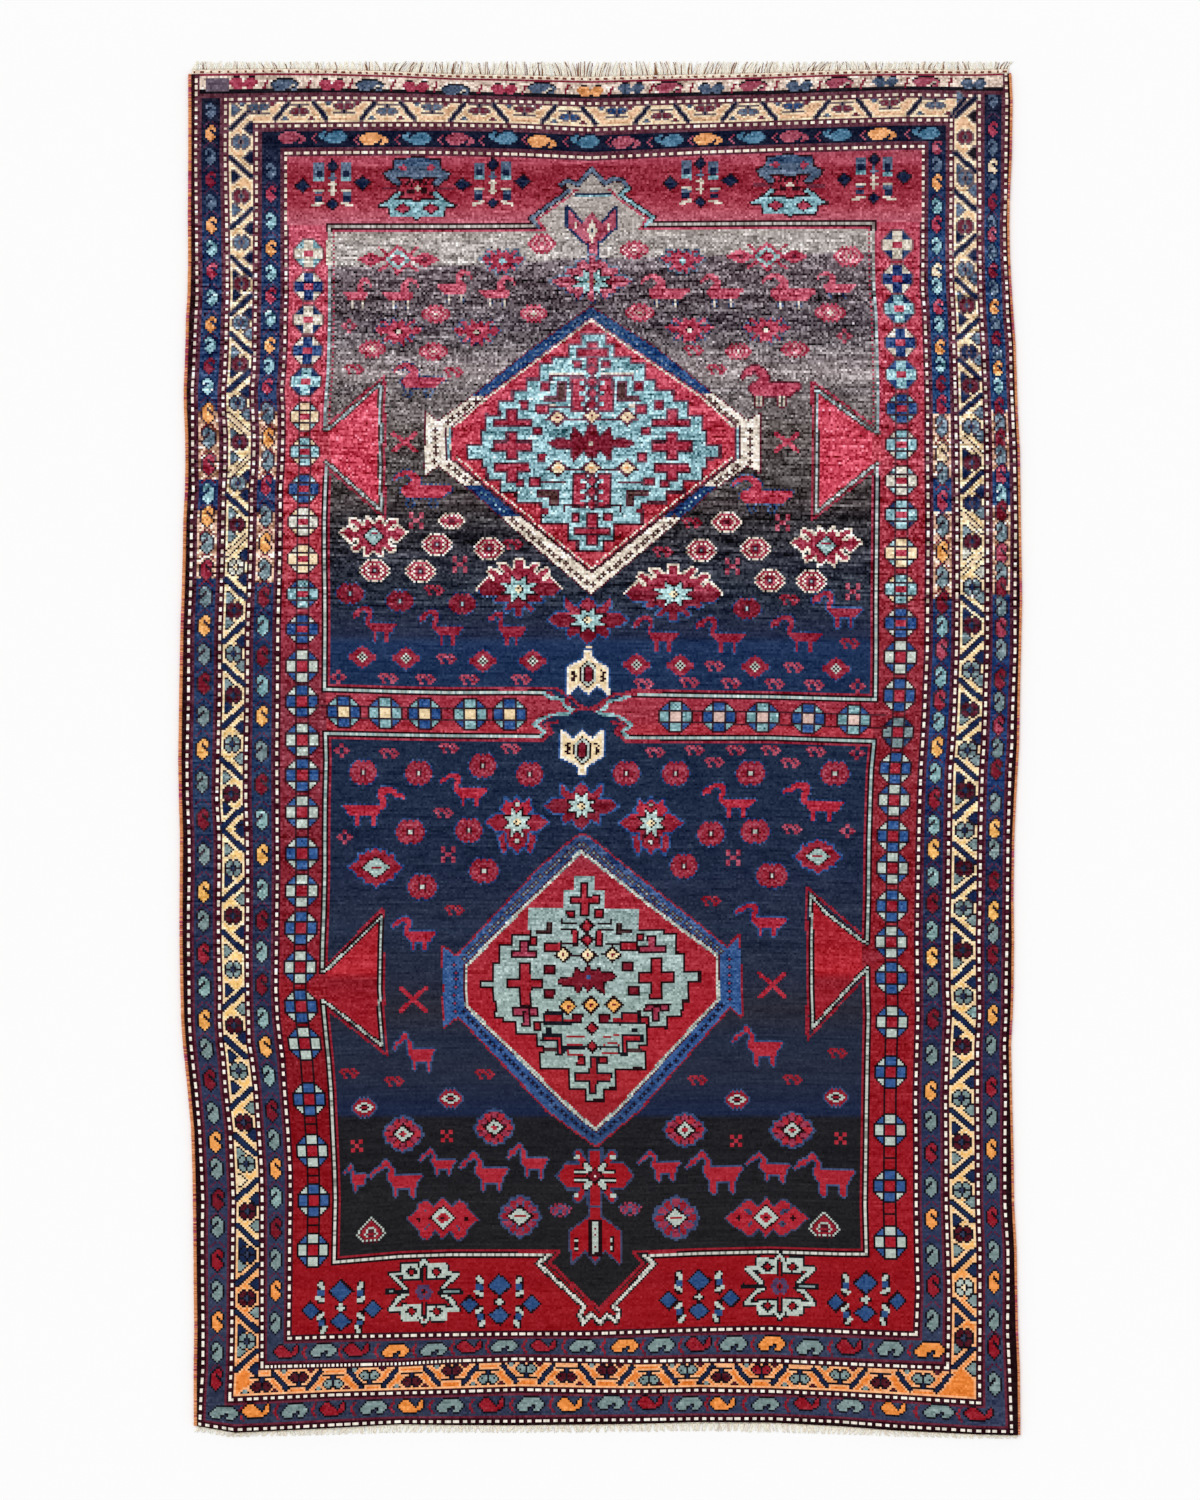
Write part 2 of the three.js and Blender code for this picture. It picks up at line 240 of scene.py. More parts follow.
# Wools. Each has its name, how much its knots differ, and its colour at some heights of the chart, as
# height:rrggbb
WOOLS = [entry.split() for entry in """
    ivory 16 60:ded0bd 400:e4d8cc 480:e4d8ca 600:e9dccb 900:efe6d8 1440:f0e8da;
    guard 9 60:5e3440 300:552f3d 600:4c2232 900:562334 1200:5e2434 1440:622232;
    beadground 9 60:5a2e3c 300:5a2636 420:4a1c2c 560:3c1320 900:3c1020 1200:360f1a 1440:30101a;
    palegold 14 60:e6d0b0 200:ecd6b6 500:f2dab2 900:f2d8ae 1240:f0cda0 1275:f2b47c 1440:eca272;
    dash 8 60:4a2a44 400:4c2844 700:4a2238 1000:58203a 1440:5a2036;
    seam 9 330:7a5464 400:64384a 460:542836 520:441c28 600:381620;
    bandblue 9 300:223c62 340:1e4070 400:1c3e76 440:1c3c72 500:1c3a6a 560:1c3664 600:1a325c;
    dusty 10 60:665866 120:665866;
    dark 6 60:2a0e14 400:260c14 900:200a10 1440:1c0a0d;
    black 5 60:17131a 400:16141d 900:14161f 1440:131316;
    navy 9 60:17131f 140:141a30 200:1a2644 240:223860 300:22375e 480:1f3560 600:1c3258 760:22375a
        900:242e4a 1060:2a3450 1180:2c3652 1270:323c56 1340:30384f 1440:2f364c;
    rightnavy 9 60:17131f 140:18223e 240:22406c 400:22426f 560:1e3b69 600:16305c 760:1e3c70 860:1c2a4c
        900:1c2848 1060:28304e 1186:2a3452 1250:2e3854 1340:343d56 1440:323a54;
    vinenavy 6 60:10162c 400:16264a 900:17264a 1250:1a2848 1440:1a2340;
    yellow 15 60:dcb496 125:dcb08c 200:e0b486 260:e2ba90 300:e8c6a0 500:eec88e 900:f0c67e 1240:f0b868
        1275:ec984c 1300:e6843a 1440:e27c34;
    red 13 150:b0485a 165:b44860 200:bc5066 300:ba4c5e 400:b84a5a 500:b6404e 560:a63844 620:902c3c
        700:7c2e3a 760:86303e 840:7c2430 960:86202c 990:901e28 1060:7e161f 1110:7c0e18 1180:86121b
        1300:8c141b 1440:8c141b;
    rightred 13 150:b0485a 200:b84e62 300:ae3e50 400:a83a4c 500:a03442 620:902c38 700:842430 840:84222c
        960:8c1e28 1060:8e1822 1180:941722 1300:961720 1440:961720;
    panelred 12 150:a04656 163:a84456 167:8c2838 200:963040 208:a03c4c 214:aa4c5c 222:ac5464 230:ac5464;
    bandred 12 680:9a3442 700:a03646 715:96303f 730:a4303c 745:962c3a;
    lowred 9 1250:96161f 1280:8c111a 1300:94161e 1340:8a1019;
    field 9 226:a49a96 250:aaa29e 265.6:b0a8a4 268:6e6268 290:60545a 325:544b52 345:686064 372:928688
        390:746c6e 410:706868 440:5a5050 470:4c4646 505:3e3638 516:2a262a 560:2a2c38 600:222938 636:242c46
        643:1c3054 690:1a2c4c 740:1c2a42 800:1b2840 880:1e2840 910:242c42 930:222c42 980:262b3e 1010:2a2a36
        1040:222a3e 1068:242a3c 1092:20283e 1114:1a2440 1119:1f1e22 1150:1d1c20 1230:1f1e21 1262:1f1e21;
    rose 14 60:9a4a5c 400:a84a5e 700:9c3c50 1440:8c2c44;
    crimson 12 60:9c3a50 300:a83c52 500:962f44 700:8a2436 900:8c2030 1100:8c1e2c 1440:8e1a26;
    maroon 8 60:6a2a3a 400:5e2030 700:4c1626 1000:4a1420 1440:4c1620;
    darkred 9 60:7e2238 500:741a2c 1440:6e1420;
    blue 12 60:24406a 400:26487c 700:2b4f88 1000:2e4f80 1440:2d4a76;
    turquoise 18 60:6f9aa6 330:8cb4be 400:92bcc6 460:90b8c2 560:8ab0b8 700:7ea6ac 900:809f9f 1440:86a09c;
    light 15 60:93b4b6 400:9ab8bb 700:9fb9b8 1000:a3b6af 1440:a5b5ac;
    pale 14 60:cfc6b8 400:d3c8ba 700:b9c4bc 1000:aebbb3 1440:b4beb5;
    starblue 17 240:8fb4b8 400:96bcc0 600:9cc0c2 780:a6c0be 860:b0c2bc;
    slate 14 60:4c5a70 200:50627a 400:5e7284 500:70848e 700:74888c 1000:768a8a 1440:7a8e8e;
    orange 14 60:dd9a66 400:e39a5c 900:eab264 1250:e9954f 1440:e4883f;
    cream 12 60:dfc9ae 400:e6ccab 900:edd5a8 1440:edd9b8;
    frameline 14 220:b4aea8 262:b0b2b0 300:a4b8bc 400:a4b8be 460:a6b4b8 520:a8b2b0 620:b8beb8 740:a6b6b2
        900:a8b6b0 1020:b2bcb4 1150:c4c6bd 1300:d0cfc6;
    brown 8 60:54363a 600:4e3330 1440:3a2226;
    upperred 14 380:d04e64 430:cc4c60 462:c84458 520:c24054;
    triangle 11 890:a4222e 940:a0212c 972:b02530 980:861a26 1000:941c28 1050:9c1e2a;
    medallion 13 306:8e3a48 345:b03c4e 400:b84054 430:b83c4e 500:a8303e 540:a02c3a 580:b43e4c;
    lowmedallion 11 835:903a4a 880:9e2836 960:9e2632 1020:a2202c 1060:a42630 1080:a2242c 1140:88202a;
    redknot 11 300:a43c50 450:a23448 600:96283a 900:a02634 1020:96202a 1140:8c1e26;
    blueband 14 830:32466e 900:345080 1000:34568a 1060:34548a 1150:30486e;
    lowturquoise 18 870:8fa8a8 940:96aaa8 1000:98aca8 1100:95a8a2;
    wheelblue 11 250:25386a 400:2c4a7c 600:2b4c84 900:31568c 1100:34558a 1260:38568a;
    wheelred 12 250:b04458 500:a83448 700:a02c3c 900:90202e 1260:a01c28;
    rim 8 250:7c5058 400:5c3038 500:481c26 700:3a141c 1000:28101a 1080:160e14 1440:140c10;
    line 8 250:6c5c60 400:44303a 600:30222c 800:2c2028 1000:20161e 1080:14101a 1440:120e16;
    link 8 250:9c4c5c 420:6c2836 700:501c26 1000:240c12 1260:1c0a0e;
    ivorybox 26 400:d0a890 480:c9a08a 600:d2ab92;
    topivory 24 60:e0cabc 100:d8c2b4;
    topnavy 6 100:10152a 150:10162c;
    guardblue 13 120:4a7490 150:4a7490;
    capblue 13 150:3c506e 180:4a6480;
    figureblue 11 260:34446a 400:344a70 600:2f4f80 700:2c4e84 900:2a4a80 1060:2e446e 1150:303e5e
        1240:3a405c;
    birdred 12 260:b85468 400:a83e54 500:b0384c 620:8c2438 700:8c2236 780:a8283a 900:a02436 1100:a62836
        1240:a2222e;
    faintblue 12 260:34446a 400:344a70 600:26406e 750:243e6e 900:284476 1060:30466c 1240:3e4a6c;
    ringpink 14 240:cc9ea2 320:bc8a90 420:a4646e 520:d8c0b4 600:dcc8b8;
    paleline 18 840:bcc2b8 1000:c0c2b6 1140:b8bcb2;
    wheelpink 10 700:d6b8ae;
    dustrose 8 740:a24c5e 900:9c4656;
    framedim 12 220:8a807c 262:86827e 400:7c8a8e 460:747e82 520:8a969a 620:98a2a2 700:84a0a2 760:84a0a2
        900:6e7e7c 1150:84867e 1300:8a8a84;
    diamondblue 10 1240:2c4c7c 1340:2c4a78;
    violet 10 1240:4c3858 1330:4a3a5c""".split(";")]
WOOL_NAMES = [name for name, *_ in WOOLS]
chart = np.zeros((ROWS, COLUMNS), int)


def paint(mask, wool):
    chart[mask] = WOOL_NAMES.index(wool)


def window(left, right, top, bottom):
    """The slices of rows and columns that hold every knot within a box of the chart."""
    margin = 16
    columns = np.flatnonzero((knot_x[0] > left - margin) & (knot_x[0] < right + margin))
    rows = np.flatnonzero((knot_y[:, 0] > top - margin) & (knot_y[:, 0] < bottom + margin))
    if not len(columns) or not len(rows):
        return slice(0, 0), slice(0, 0)
    return slice(rows[0], rows[-1] + 1), slice(columns[0], columns[-1] + 1)


def fill(wool, box, test):
    """Paints the knots within a box of the chart whose centres pass a test."""
    part = window(*box)
    x, y = knot_x[part], knot_y[part]
    chart[part][test(x, y)] = WOOL_NAMES.index(wool)


def block(wool, left, right, top, bottom):
    fill(wool, (left, right, top, bottom), lambda x, y: (x > left) & (x < right) & (y > top) & (y < bottom))


def bar(wool, middle, half_width, top, bottom):
    block(wool, middle - half_width, middle + half_width, top, bottom)


def block_at(wool, x, y, half_width, half_height):
    block(wool, x - half_width, x + half_width, y - half_height, y + half_height)


def lozenge(wool, x0, y0, half_width, half_height):
    fill(wool, (x0 - half_width, x0 + half_width, y0 - half_height, y0 + half_height),
         lambda x, y: abs(x - x0) / half_width + abs(y - y0) / half_height < 1)


def lozenges(x, y, text):
    """Lozenges about one middle, each as its wool, half width and half height."""
    for part in text.split(";"):
        wool, half_width, half_height = part.split()
        lozenge(wool, x, y, float(half_width), float(half_height))


def inside_polygon(points, x, y):
    odd = np.zeros(x.shape, bool)
    for (x1, y1), (x2, y2) in zip(points, points[1:] + points[:1]):
        if y1 != y2:
            crossing = x1 + (y - y1) * (x2 - x1) / (y2 - y1)
            odd ^= ((y1 > y) != (y2 > y)) & (x < crossing)
    return odd


def polygon(wool, *points):
    """Fills a polygon given by its corners in chart units."""
    xs, ys = np.array(points).T
    fill(wool, (xs.min(), xs.max(), ys.min(), ys.max()), lambda x, y: inside_polygon(points, x, y))


def stroke(wool, width, *points):
    """Paints a line of some width through points in chart units."""
    for (x1, y1), (x2, y2) in zip(points, points[1:]):
        length = max(np.hypot(x2 - x1, y2 - y1), 0.01)

        def near(x, y):
            share = np.clip(((x - x1) * (x2 - x1) + (y - y1) * (y2 - y1)) / length ** 2, 0, 1)
            return np.hypot(x - x1 - share * (x2 - x1), y - y1 - share * (y2 - y1)) < width / 2

        fill(wool, (min(x1, x2), max(x1, x2), min(y1, y2), max(y1, y2)), near)


def knot_at(x, y):
    """The row and column of the knot nearest to a place of the chart."""
    part = window(x - 1, x + 1, y - 1, y + 1)
    away = np.hypot(knot_x[part] - x, knot_y[part] - y)
    row, col = np.unravel_index(away.argmin(), away.shape)
    return part[0].start + row, part[1].start + col


def motif(text):
    """A small chart: one letter a knot, and a full stop where the ground shows."""
    lines = [line.strip() for line in text.strip().splitlines()]
    return np.array([list(line) for line in lines])


def both_sides(letters):
    """A chart from its left half and middle column."""
    return np.hstack([letters, letters[:, -2::-1]])


def all_round(letters):
    """A chart from its upper left quarter with its middle row and column."""
    upper = both_sides(letters)
    return np.vstack([upper, upper[-2::-1]])


def sized(letters, width, height):
    """A chart at another number of knots across and down."""
    rows = ((np.arange(height) + 0.5) * letters.shape[0] / height).astype(int)
    columns = ((np.arange(width) + 0.5) * letters.shape[1] / width).astype(int)
    return letters[rows][:, columns]


def place(letters, row, col, wools, outline=None):
    """Knots a chart around a row and column. wools names the wool of each of its letters."""
    top, left = row - letters.shape[0] // 2, col - letters.shape[1] // 2
    drawn = np.argwhere(letters != ".") + (top, left)
    drawn_letters = letters[letters != "."]
    if outline:
        for step in ((0, 1), (0, -1), (1, 0), (-1, 0)):
            paint(tuple(np.clip(drawn + step, 0, (ROWS - 1, COLUMNS - 1)).T), outline)
    for letter, wool in wools.items():
        chosen = drawn[drawn_letters == letter]
        if len(chosen):
            paint(tuple(np.clip(chosen, 0, (ROWS - 1, COLUMNS - 1)).T), wool)


def stamp(letters, x, y, wools, outline=None, width=None, height=None, flip=False, upset=False):
    """Knots a chart around a place of the chart, at a width and height in chart units if given."""
    if width or height:
        across = max(1, round(width / KNOT)) if width else letters.shape[1]
        down = max(1, round(height / KNOT)) if height else letters.shape[0]
        letters = sized(letters, across, down)
    if flip:
        letters = letters[:, ::-1]
    if upset:
        letters = letters[::-1]
    place(letters, *knot_at(x, y), wools, outline)


def entries(text):
    """The parts of a text between semicolons, each as its place and its words."""
    parts = [part.split() for part in text.split(";") if part.strip()]
    return [(float(words[0]), words[1:]) for words in parts]


# Borders: rings of knots between the beaded lines. The outermost line's upper side would lie above the
# rug, so it isn't seen.
ABOVE_THE_RUG = -4
RINGS = [SimpleNamespace(left=COLUMN_OF[f"bead{number}"], right=RIGHT_COLUMN_OF[f"bead{number}"],
                         top=ROW_OF.get(f"bead{number}", ABOVE_THE_RUG), bottom=ROW_OF[f"low{number}"])
         for number in (1, 2, 3, 4)]
INNERMOST = RINGS[-1]


def knots_between(left, right, top, bottom):
    """The knots strictly between two columns and two rows."""
    return (knot_column > left) & (knot_column < right) & (knot_row > top) & (knot_row < bottom)


def depth_inside(ring):
    """How many knots each knot lies inside a ring, 0 on it and negative outside."""
    sides = (knot_column - ring.left, ring.right - knot_column, knot_row - ring.top, ring.bottom - knot_row)
    return np.minimum.reduce(sides)


BEAD_HEIGHTS = (60, 330, 520, 800, 1440)
BEAD_PITCHES = (7.3, 7.7, 9.6, 9.5, 9.1)
LEVEL_BEAD_PITCH = 8.3
CLOSE_BEAD_PITCH = 4.12
BEAD_SHARE = 0.53
LEVEL_BEAD_SHARE = 0.55


def bead_line(ring, depth):
    """White beads in a dark line, in the knots of a ring. They stand closer together in the upper part."""
    heights = np.arange(CHART_HEIGHT)
    beads = np.cumsum(1 / np.interp(heights, BEAD_HEIGHTS, BEAD_PITCHES))
    upright = ((knot_column == ring.left) | (knot_column == ring.right)) & (depth == 0)
    level = ((knot_row == ring.top) | (knot_row == ring.bottom)) & (depth == 0)
    paint(abs(depth) <= 1, "beadground")
    phase = (np.interp(knot_y, heights, beads) + 0.1 * ring.left) % 1
    paint(upright & (phase < BEAD_SHARE), "ivory")
    close = (knot_y > 1200) & (ring is RINGS[2]) & (knot_x < 480)
    pitch = np.where(close, CLOSE_BEAD_PITCH, LEVEL_BEAD_PITCH)
    phase = (knot_x / pitch + 0.37 + 0.05 * np.sin(knot_x / 29 + ring.left)) % 1
    paint(level & (phase < LEVEL_BEAD_SHARE), "ivory")


def border_grounds():
    paint(knot_row >= 0, "dark")
    depths = [depth_inside(ring) for ring in RINGS]
    outer, vine, inner, middle = depths
    right = knot_x > MIDDLE_X
    for depth, next_depth in ((outer, vine), (inner, middle)):
        band = (depth > 0) & (next_depth < 0)
        paint(band, "navy")
        paint(band & right, "rightnavy")
        for edge in (depth, -next_depth):
            paint(band & (edge == 2), "guard")
            paint(band & (edge == 1), "dark")
    band = (vine > 0) & (inner < 0)
    paint(band, "yellow")
    paint(band & ((vine == 2) | (inner == -2)), "palegold")
    upper = knot_row < 40
    for depth in (outer, vine, inner):
        paint(upper & (depth == -1), "guard")
        paint(upper & (depth == 1), "guard")
    paint(middle > 0, "red")
    paint((middle > 0) & right, "rightred")
    paint(middle == 1, "dark")
    for ring, depth in zip(RINGS, depths):
        bead_line(ring, depth)
    paint(outer < 0, "dark")


border_grounds()


# Field: the frame line round both halves, and the grounds inside it
FIELD_LEFT = COLUMN_OF["frame"]
FIELD_RIGHT = RIGHT_COLUMN_OF["frame"]
FIELD_HALVES = ((ROW_OF["panel"], ROW_OF["band"]), (ROW_OF["belt"], ROW_OF["field"]))
FADED_TOP = 232
FADED_BOTTOM = 475
PALE_CORNER = (240.5, 266)


def field_grounds():
    for top, bottom in FIELD_HALVES:
        paint(knots_between(FIELD_LEFT, FIELD_RIGHT, top, bottom), "field")
    paint(knots_between(INNERMOST.left, INNERMOST.right, INNERMOST.top + 1, ROW_OF["panel"]), "panelred")
    paint(knots_between(FIELD_LEFT, FIELD_RIGHT, ROW_OF["band"], ROW_OF["belt"]), "bandred")
    paint(knots_between(INNERMOST.left + 1, INNERMOST.right - 1, ROW_OF["field"], INNERMOST.bottom - 1),
          "lowred")
    for top, bottom in FIELD_HALVES:
        depth = depth_inside(SimpleNamespace(left=FIELD_LEFT, right=FIELD_RIGHT, top=top, bottom=bottom))
        for step, wool in ((-1, "dark"), (0, "frameline"), (1, "dark"), (2, "crimson")):
            paint(depth == step, wool)
    faded = (knot_y > FADED_TOP) & (knot_y < FADED_BOTTOM)
    for step, wool, rows in ((-1, "crimson", 1), (1, "field", 1), (2, "field", 2)):
        sides = (knot_column == FIELD_LEFT + step) | (knot_column == FIELD_RIGHT - step)
        paint(faded & sides & (knot_row % rows == 0), wool)
    pale = (knot_y > PALE_CORNER[0]) & (knot_y < PALE_CORNER[1])
    paint(pale & (knot_column >= FIELD_LEFT - 1) & (knot_column <= FIELD_LEFT), "pale")


# Where the side triangles meet the red border
LEFT_BORDER_X = 318
RIGHT_BORDER_X = 884


def side_triangle(path, crimson_path, wool, gap_top, gap_bottom, left):
    """A red triangle that grows out of the border through a gap in the frame line."""
    edge = FIELD_LEFT - 1 if left else FIELD_RIGHT - 2
    gap = (knot_column >= edge) & (knot_column <= edge + 3) & (knot_y > gap_top) & (knot_y < gap_bottom)
    stroke("crimson", 2.4, *crimson_path)
    edging = "brown" if gap_top < 600 else "dark"
    stroke(edging, 5.4, *path)
    polygon(wool, *path)
    paint(gap, "red")
    stroke(edging, 5.0, *path)
    stroke("frameline", 2.2, *path)
    inner_x = LEFT_BORDER_X if left else RIGHT_BORDER_X
    block("red", min(inner_x, path[0][0]), max(inner_x, path[0][0]), gap_top + 2, gap_bottom - 2)


def side_triangles():
    side_triangle([(324.6, 429.8), (331, 427), (380.0, 384.0), (380.6, 510.3), (331, 466), (326.0, 462)],
                  [(328.5, 424), (384.4, 376), (384.8, 518), (329, 469)], "upperred", 431.5, 460.5, True)
    side_triangle([(877.8, 432.5), (872, 430.5), (816.4, 389.7), (816.8, 511.8), (872, 467), (877.8, 463.7)],
                  [(874, 425.5), (812.2, 381), (812.4, 519.5), (873, 471)], "upperred", 434.5, 461.5, False)
    side_triangle([(322.3, 972), (329, 968), (380.8, 917), (379.4, 1010), (381.4, 1045), (330, 1005.5),
                   (322.5, 1001)], [(326.5, 965.5), (382.6, 908.4), (384, 1010), (386.8, 1055), (327, 1009)],
                  "triangle", 974, 999.5, True)
    side_triangle([(867.2, 943.2), (861, 940), (825.7, 912.6), (811, 895), (812.3, 1028), (861, 974),
                   (867.8, 967.4)], [(863, 935.5), (806.6, 887.5), (807.4, 1039.5), (864, 978)], "triangle",
                  945, 965.8, False)


def gable():
    """The grey gable that stands in the top panel, with its tulip."""
    roof = [(530.4, 218.9), (568.6, 191), (563.6, 188), (561, 184.4), (568.6, 180), (577.6, 185),
            (591.6, 169), (605, 183.5), (613, 178.6), (622, 180), (629, 188), (620, 194.6), (653.8, 217.6)]
    base = [(643, 227), (540.6, 227)]
    polygon("field", *roof, *base)
    stroke("field", 6, (544, 226), (640, 225))
    block("field", 545, 640, 222, 231)
    stroke("crimson", 2.2, (546, 231), (537, 219.5), (570, 196), (575, 190), (611, 190), (617, 198),
           (647, 218), (640, 229))
    stroke("dark", 5.6, *roof)
    stroke("slate", 3.6, *roof[3:11])
    stroke("slate", 3.0, (539, 227), *roof[:2])
    stroke("turquoise", 3.0, *roof[10:], (645.5, 226))
    polygon("field", (594, 178), (577.6, 192), (609.4, 192))
    stroke("navy", 2.2, (576, 193.4), (610, 193.4))
    stroke("turquoise", 2.2, (576, 195.6), (610, 195.6))
    for side in (-1, 1):
        middle = 592
        left = [(middle + side * 24, 208), (middle + side * 24, 226.5), (middle + side * 5, 243),
                (middle, 243), (middle, 219), (middle + side * 9, 226)]
        stroke("navy", 5.4, *left, left[0])
        polygon("rose", *left)
        stroke("pale", 3, (middle + side * 16, 224), (middle + side * 16, 228))
    polygon("rose", (583, 222), (592, 212.5), (601, 222), (597, 243), (587, 243))
    lozenge("pale", 592, 231, 5, 12)
    block("navy", 590.5, 593.5, 229, 233)
    block("navy", 586.5, 599, 243, 268)
    block("rose", 588.5, 596.5, 243, 268)


def middle_band():
    """The middle band's two toothed ends, with the field running through between them."""
    left_end = [(544, 692.6), (550.8, 698.4), (562, 699), (565.4, 707.3), (573, 709.2), (567.3, 713.7),
                (550.8, 715), (539.3, 720), (534, 724.5), (544.6, 731.7), (541, 736.6)]
    right_end = [(629.8, 695.2), (621, 699.6), (608.2, 701), (605.6, 708.6), (596.7, 710.5), (603, 714),
                 (618.4, 716), (632, 725), (622, 731.5), (628, 737.7)]
    polygon("field", *left_end, *right_end[::-1])
    block("field", 545, 632, 686.5, 697)
    block("field", 545, 624, 734, 744.5)
    for end, way in ((left_end, 1), (right_end, -1)):
        away = [(x + 6.4 * way, y - 0.6) for x, y in end]
        polygon("crimson", *end, *away[::-1])
        stroke("dark", 3.4, *end)
        stroke("turquoise", 3.2, *end)
    stroke("crimson", 3.2, (500, 688.6), (556, 688.2), (570, 697), (580, 706), (589, 709.8), (597, 706),
           (614, 694), (660, 691.6))
    stroke("crimson", 2.4, (575, 710), (598, 710))
    stroke("crimson", 3.0, (557.4, 722), (546, 724), (552.7, 732.3), (541, 740.2), (500, 739.8))
    stroke("crimson", 3.0, (612, 722), (621, 725), (615.2, 731.5), (627, 741.4), (660, 741.6))


def bottom_point():
    """The field's dark point that reaches down into the bottom panel."""
    line = [(550.8, 1253.6), (538.1, 1263.7), (584, 1306.3), (579.5, 1315.3), (583.3, 1323.5), (591, 1314),
            (599.9, 1323.5), (606.9, 1315.3), (616.5, 1321.6), (619.1, 1311.4), (613.3, 1306.3),
            (654.1, 1263.6), (643.9, 1255.6)]
    stroke("black", 6.6, *line)
    polygon("field", (559, 1245), (550.8, 1255), (545, 1263), (599.5, 1313), (647, 1263), (640, 1254),
            (632, 1245))
    block("field", 556, 637, 1244, 1260)
    stroke("frameline", 3.4, *line)
    stroke("crimson", 3.2, (520, 1251.4), (559.1, 1251.0), (549.5, 1262.6), (599.3, 1310), (643.3, 1263.0),
           (633.1, 1252.1), (675, 1251))
    polygon("field", (563, 1244), (555, 1262.5), (599.4, 1305), (637.5, 1263), (628.5, 1244))


# Medallions: a dotted band round a red ground, with a stepped turquoise lozenge full of hooks
def dotted(path, wools, pitch):
    """Knots small dots along a path, each of one wool or a small chart with its wools."""
    points = np.array(path, float)
    lengths = np.hypot(*np.diff(points, axis=0).T)
    total = np.append(0, np.cumsum(lengths))
    for distance in np.arange(pitch / 2, total[-1], pitch):
        x = np.interp(distance, total, points[:, 0])
        y = np.interp(distance, total, points[:, 1])
        row, col = knot_at(x, y)
        if isinstance(wools, str):
            paint((row, col), wools)
        else:
            place(wools[0], row, col, wools[1])


def stepped(wool, text, grow=0.0):
    """Fills a stepped shape. Each entry is top:bottom:left:right."""
    for part in text.split():
        top, bottom, left, right = map(float, part.split(":"))
        block(wool, left - grow, right + grow, top - grow, bottom + grow)


def mirrored_blocks(middle, text):
    """Blocks and their mirror images about an upright line. A row of the text is a wool and its
    blocks, each as left:right:top:bottom."""
    for line in text.strip().splitlines():
        wool, *blocks = line.split()
        for part in blocks:
            left, right, top, bottom = map(float, part.split(":"))
            block(wool, left, right, top, bottom)
            block(wool, 2 * middle - right, 2 * middle - left, top, bottom)


def outlined_block(wool, left, right, top, bottom, edge="dark"):
    block(edge, left - 2, right + 2, top - 2, bottom + 2)
    block(wool, left, right, top, bottom)


def outlined_lozenge(wool, x, y, half_width, half_height, edge="dark"):
    lozenge(edge, x, y, half_width + 3.4, half_height + 3.4)
    lozenge(wool, x, y, half_width, half_height)


CROSS_DOT = motif("""
    .d.
    dpd
    .d.
""")


UPPER_MIDDLE_X = 592


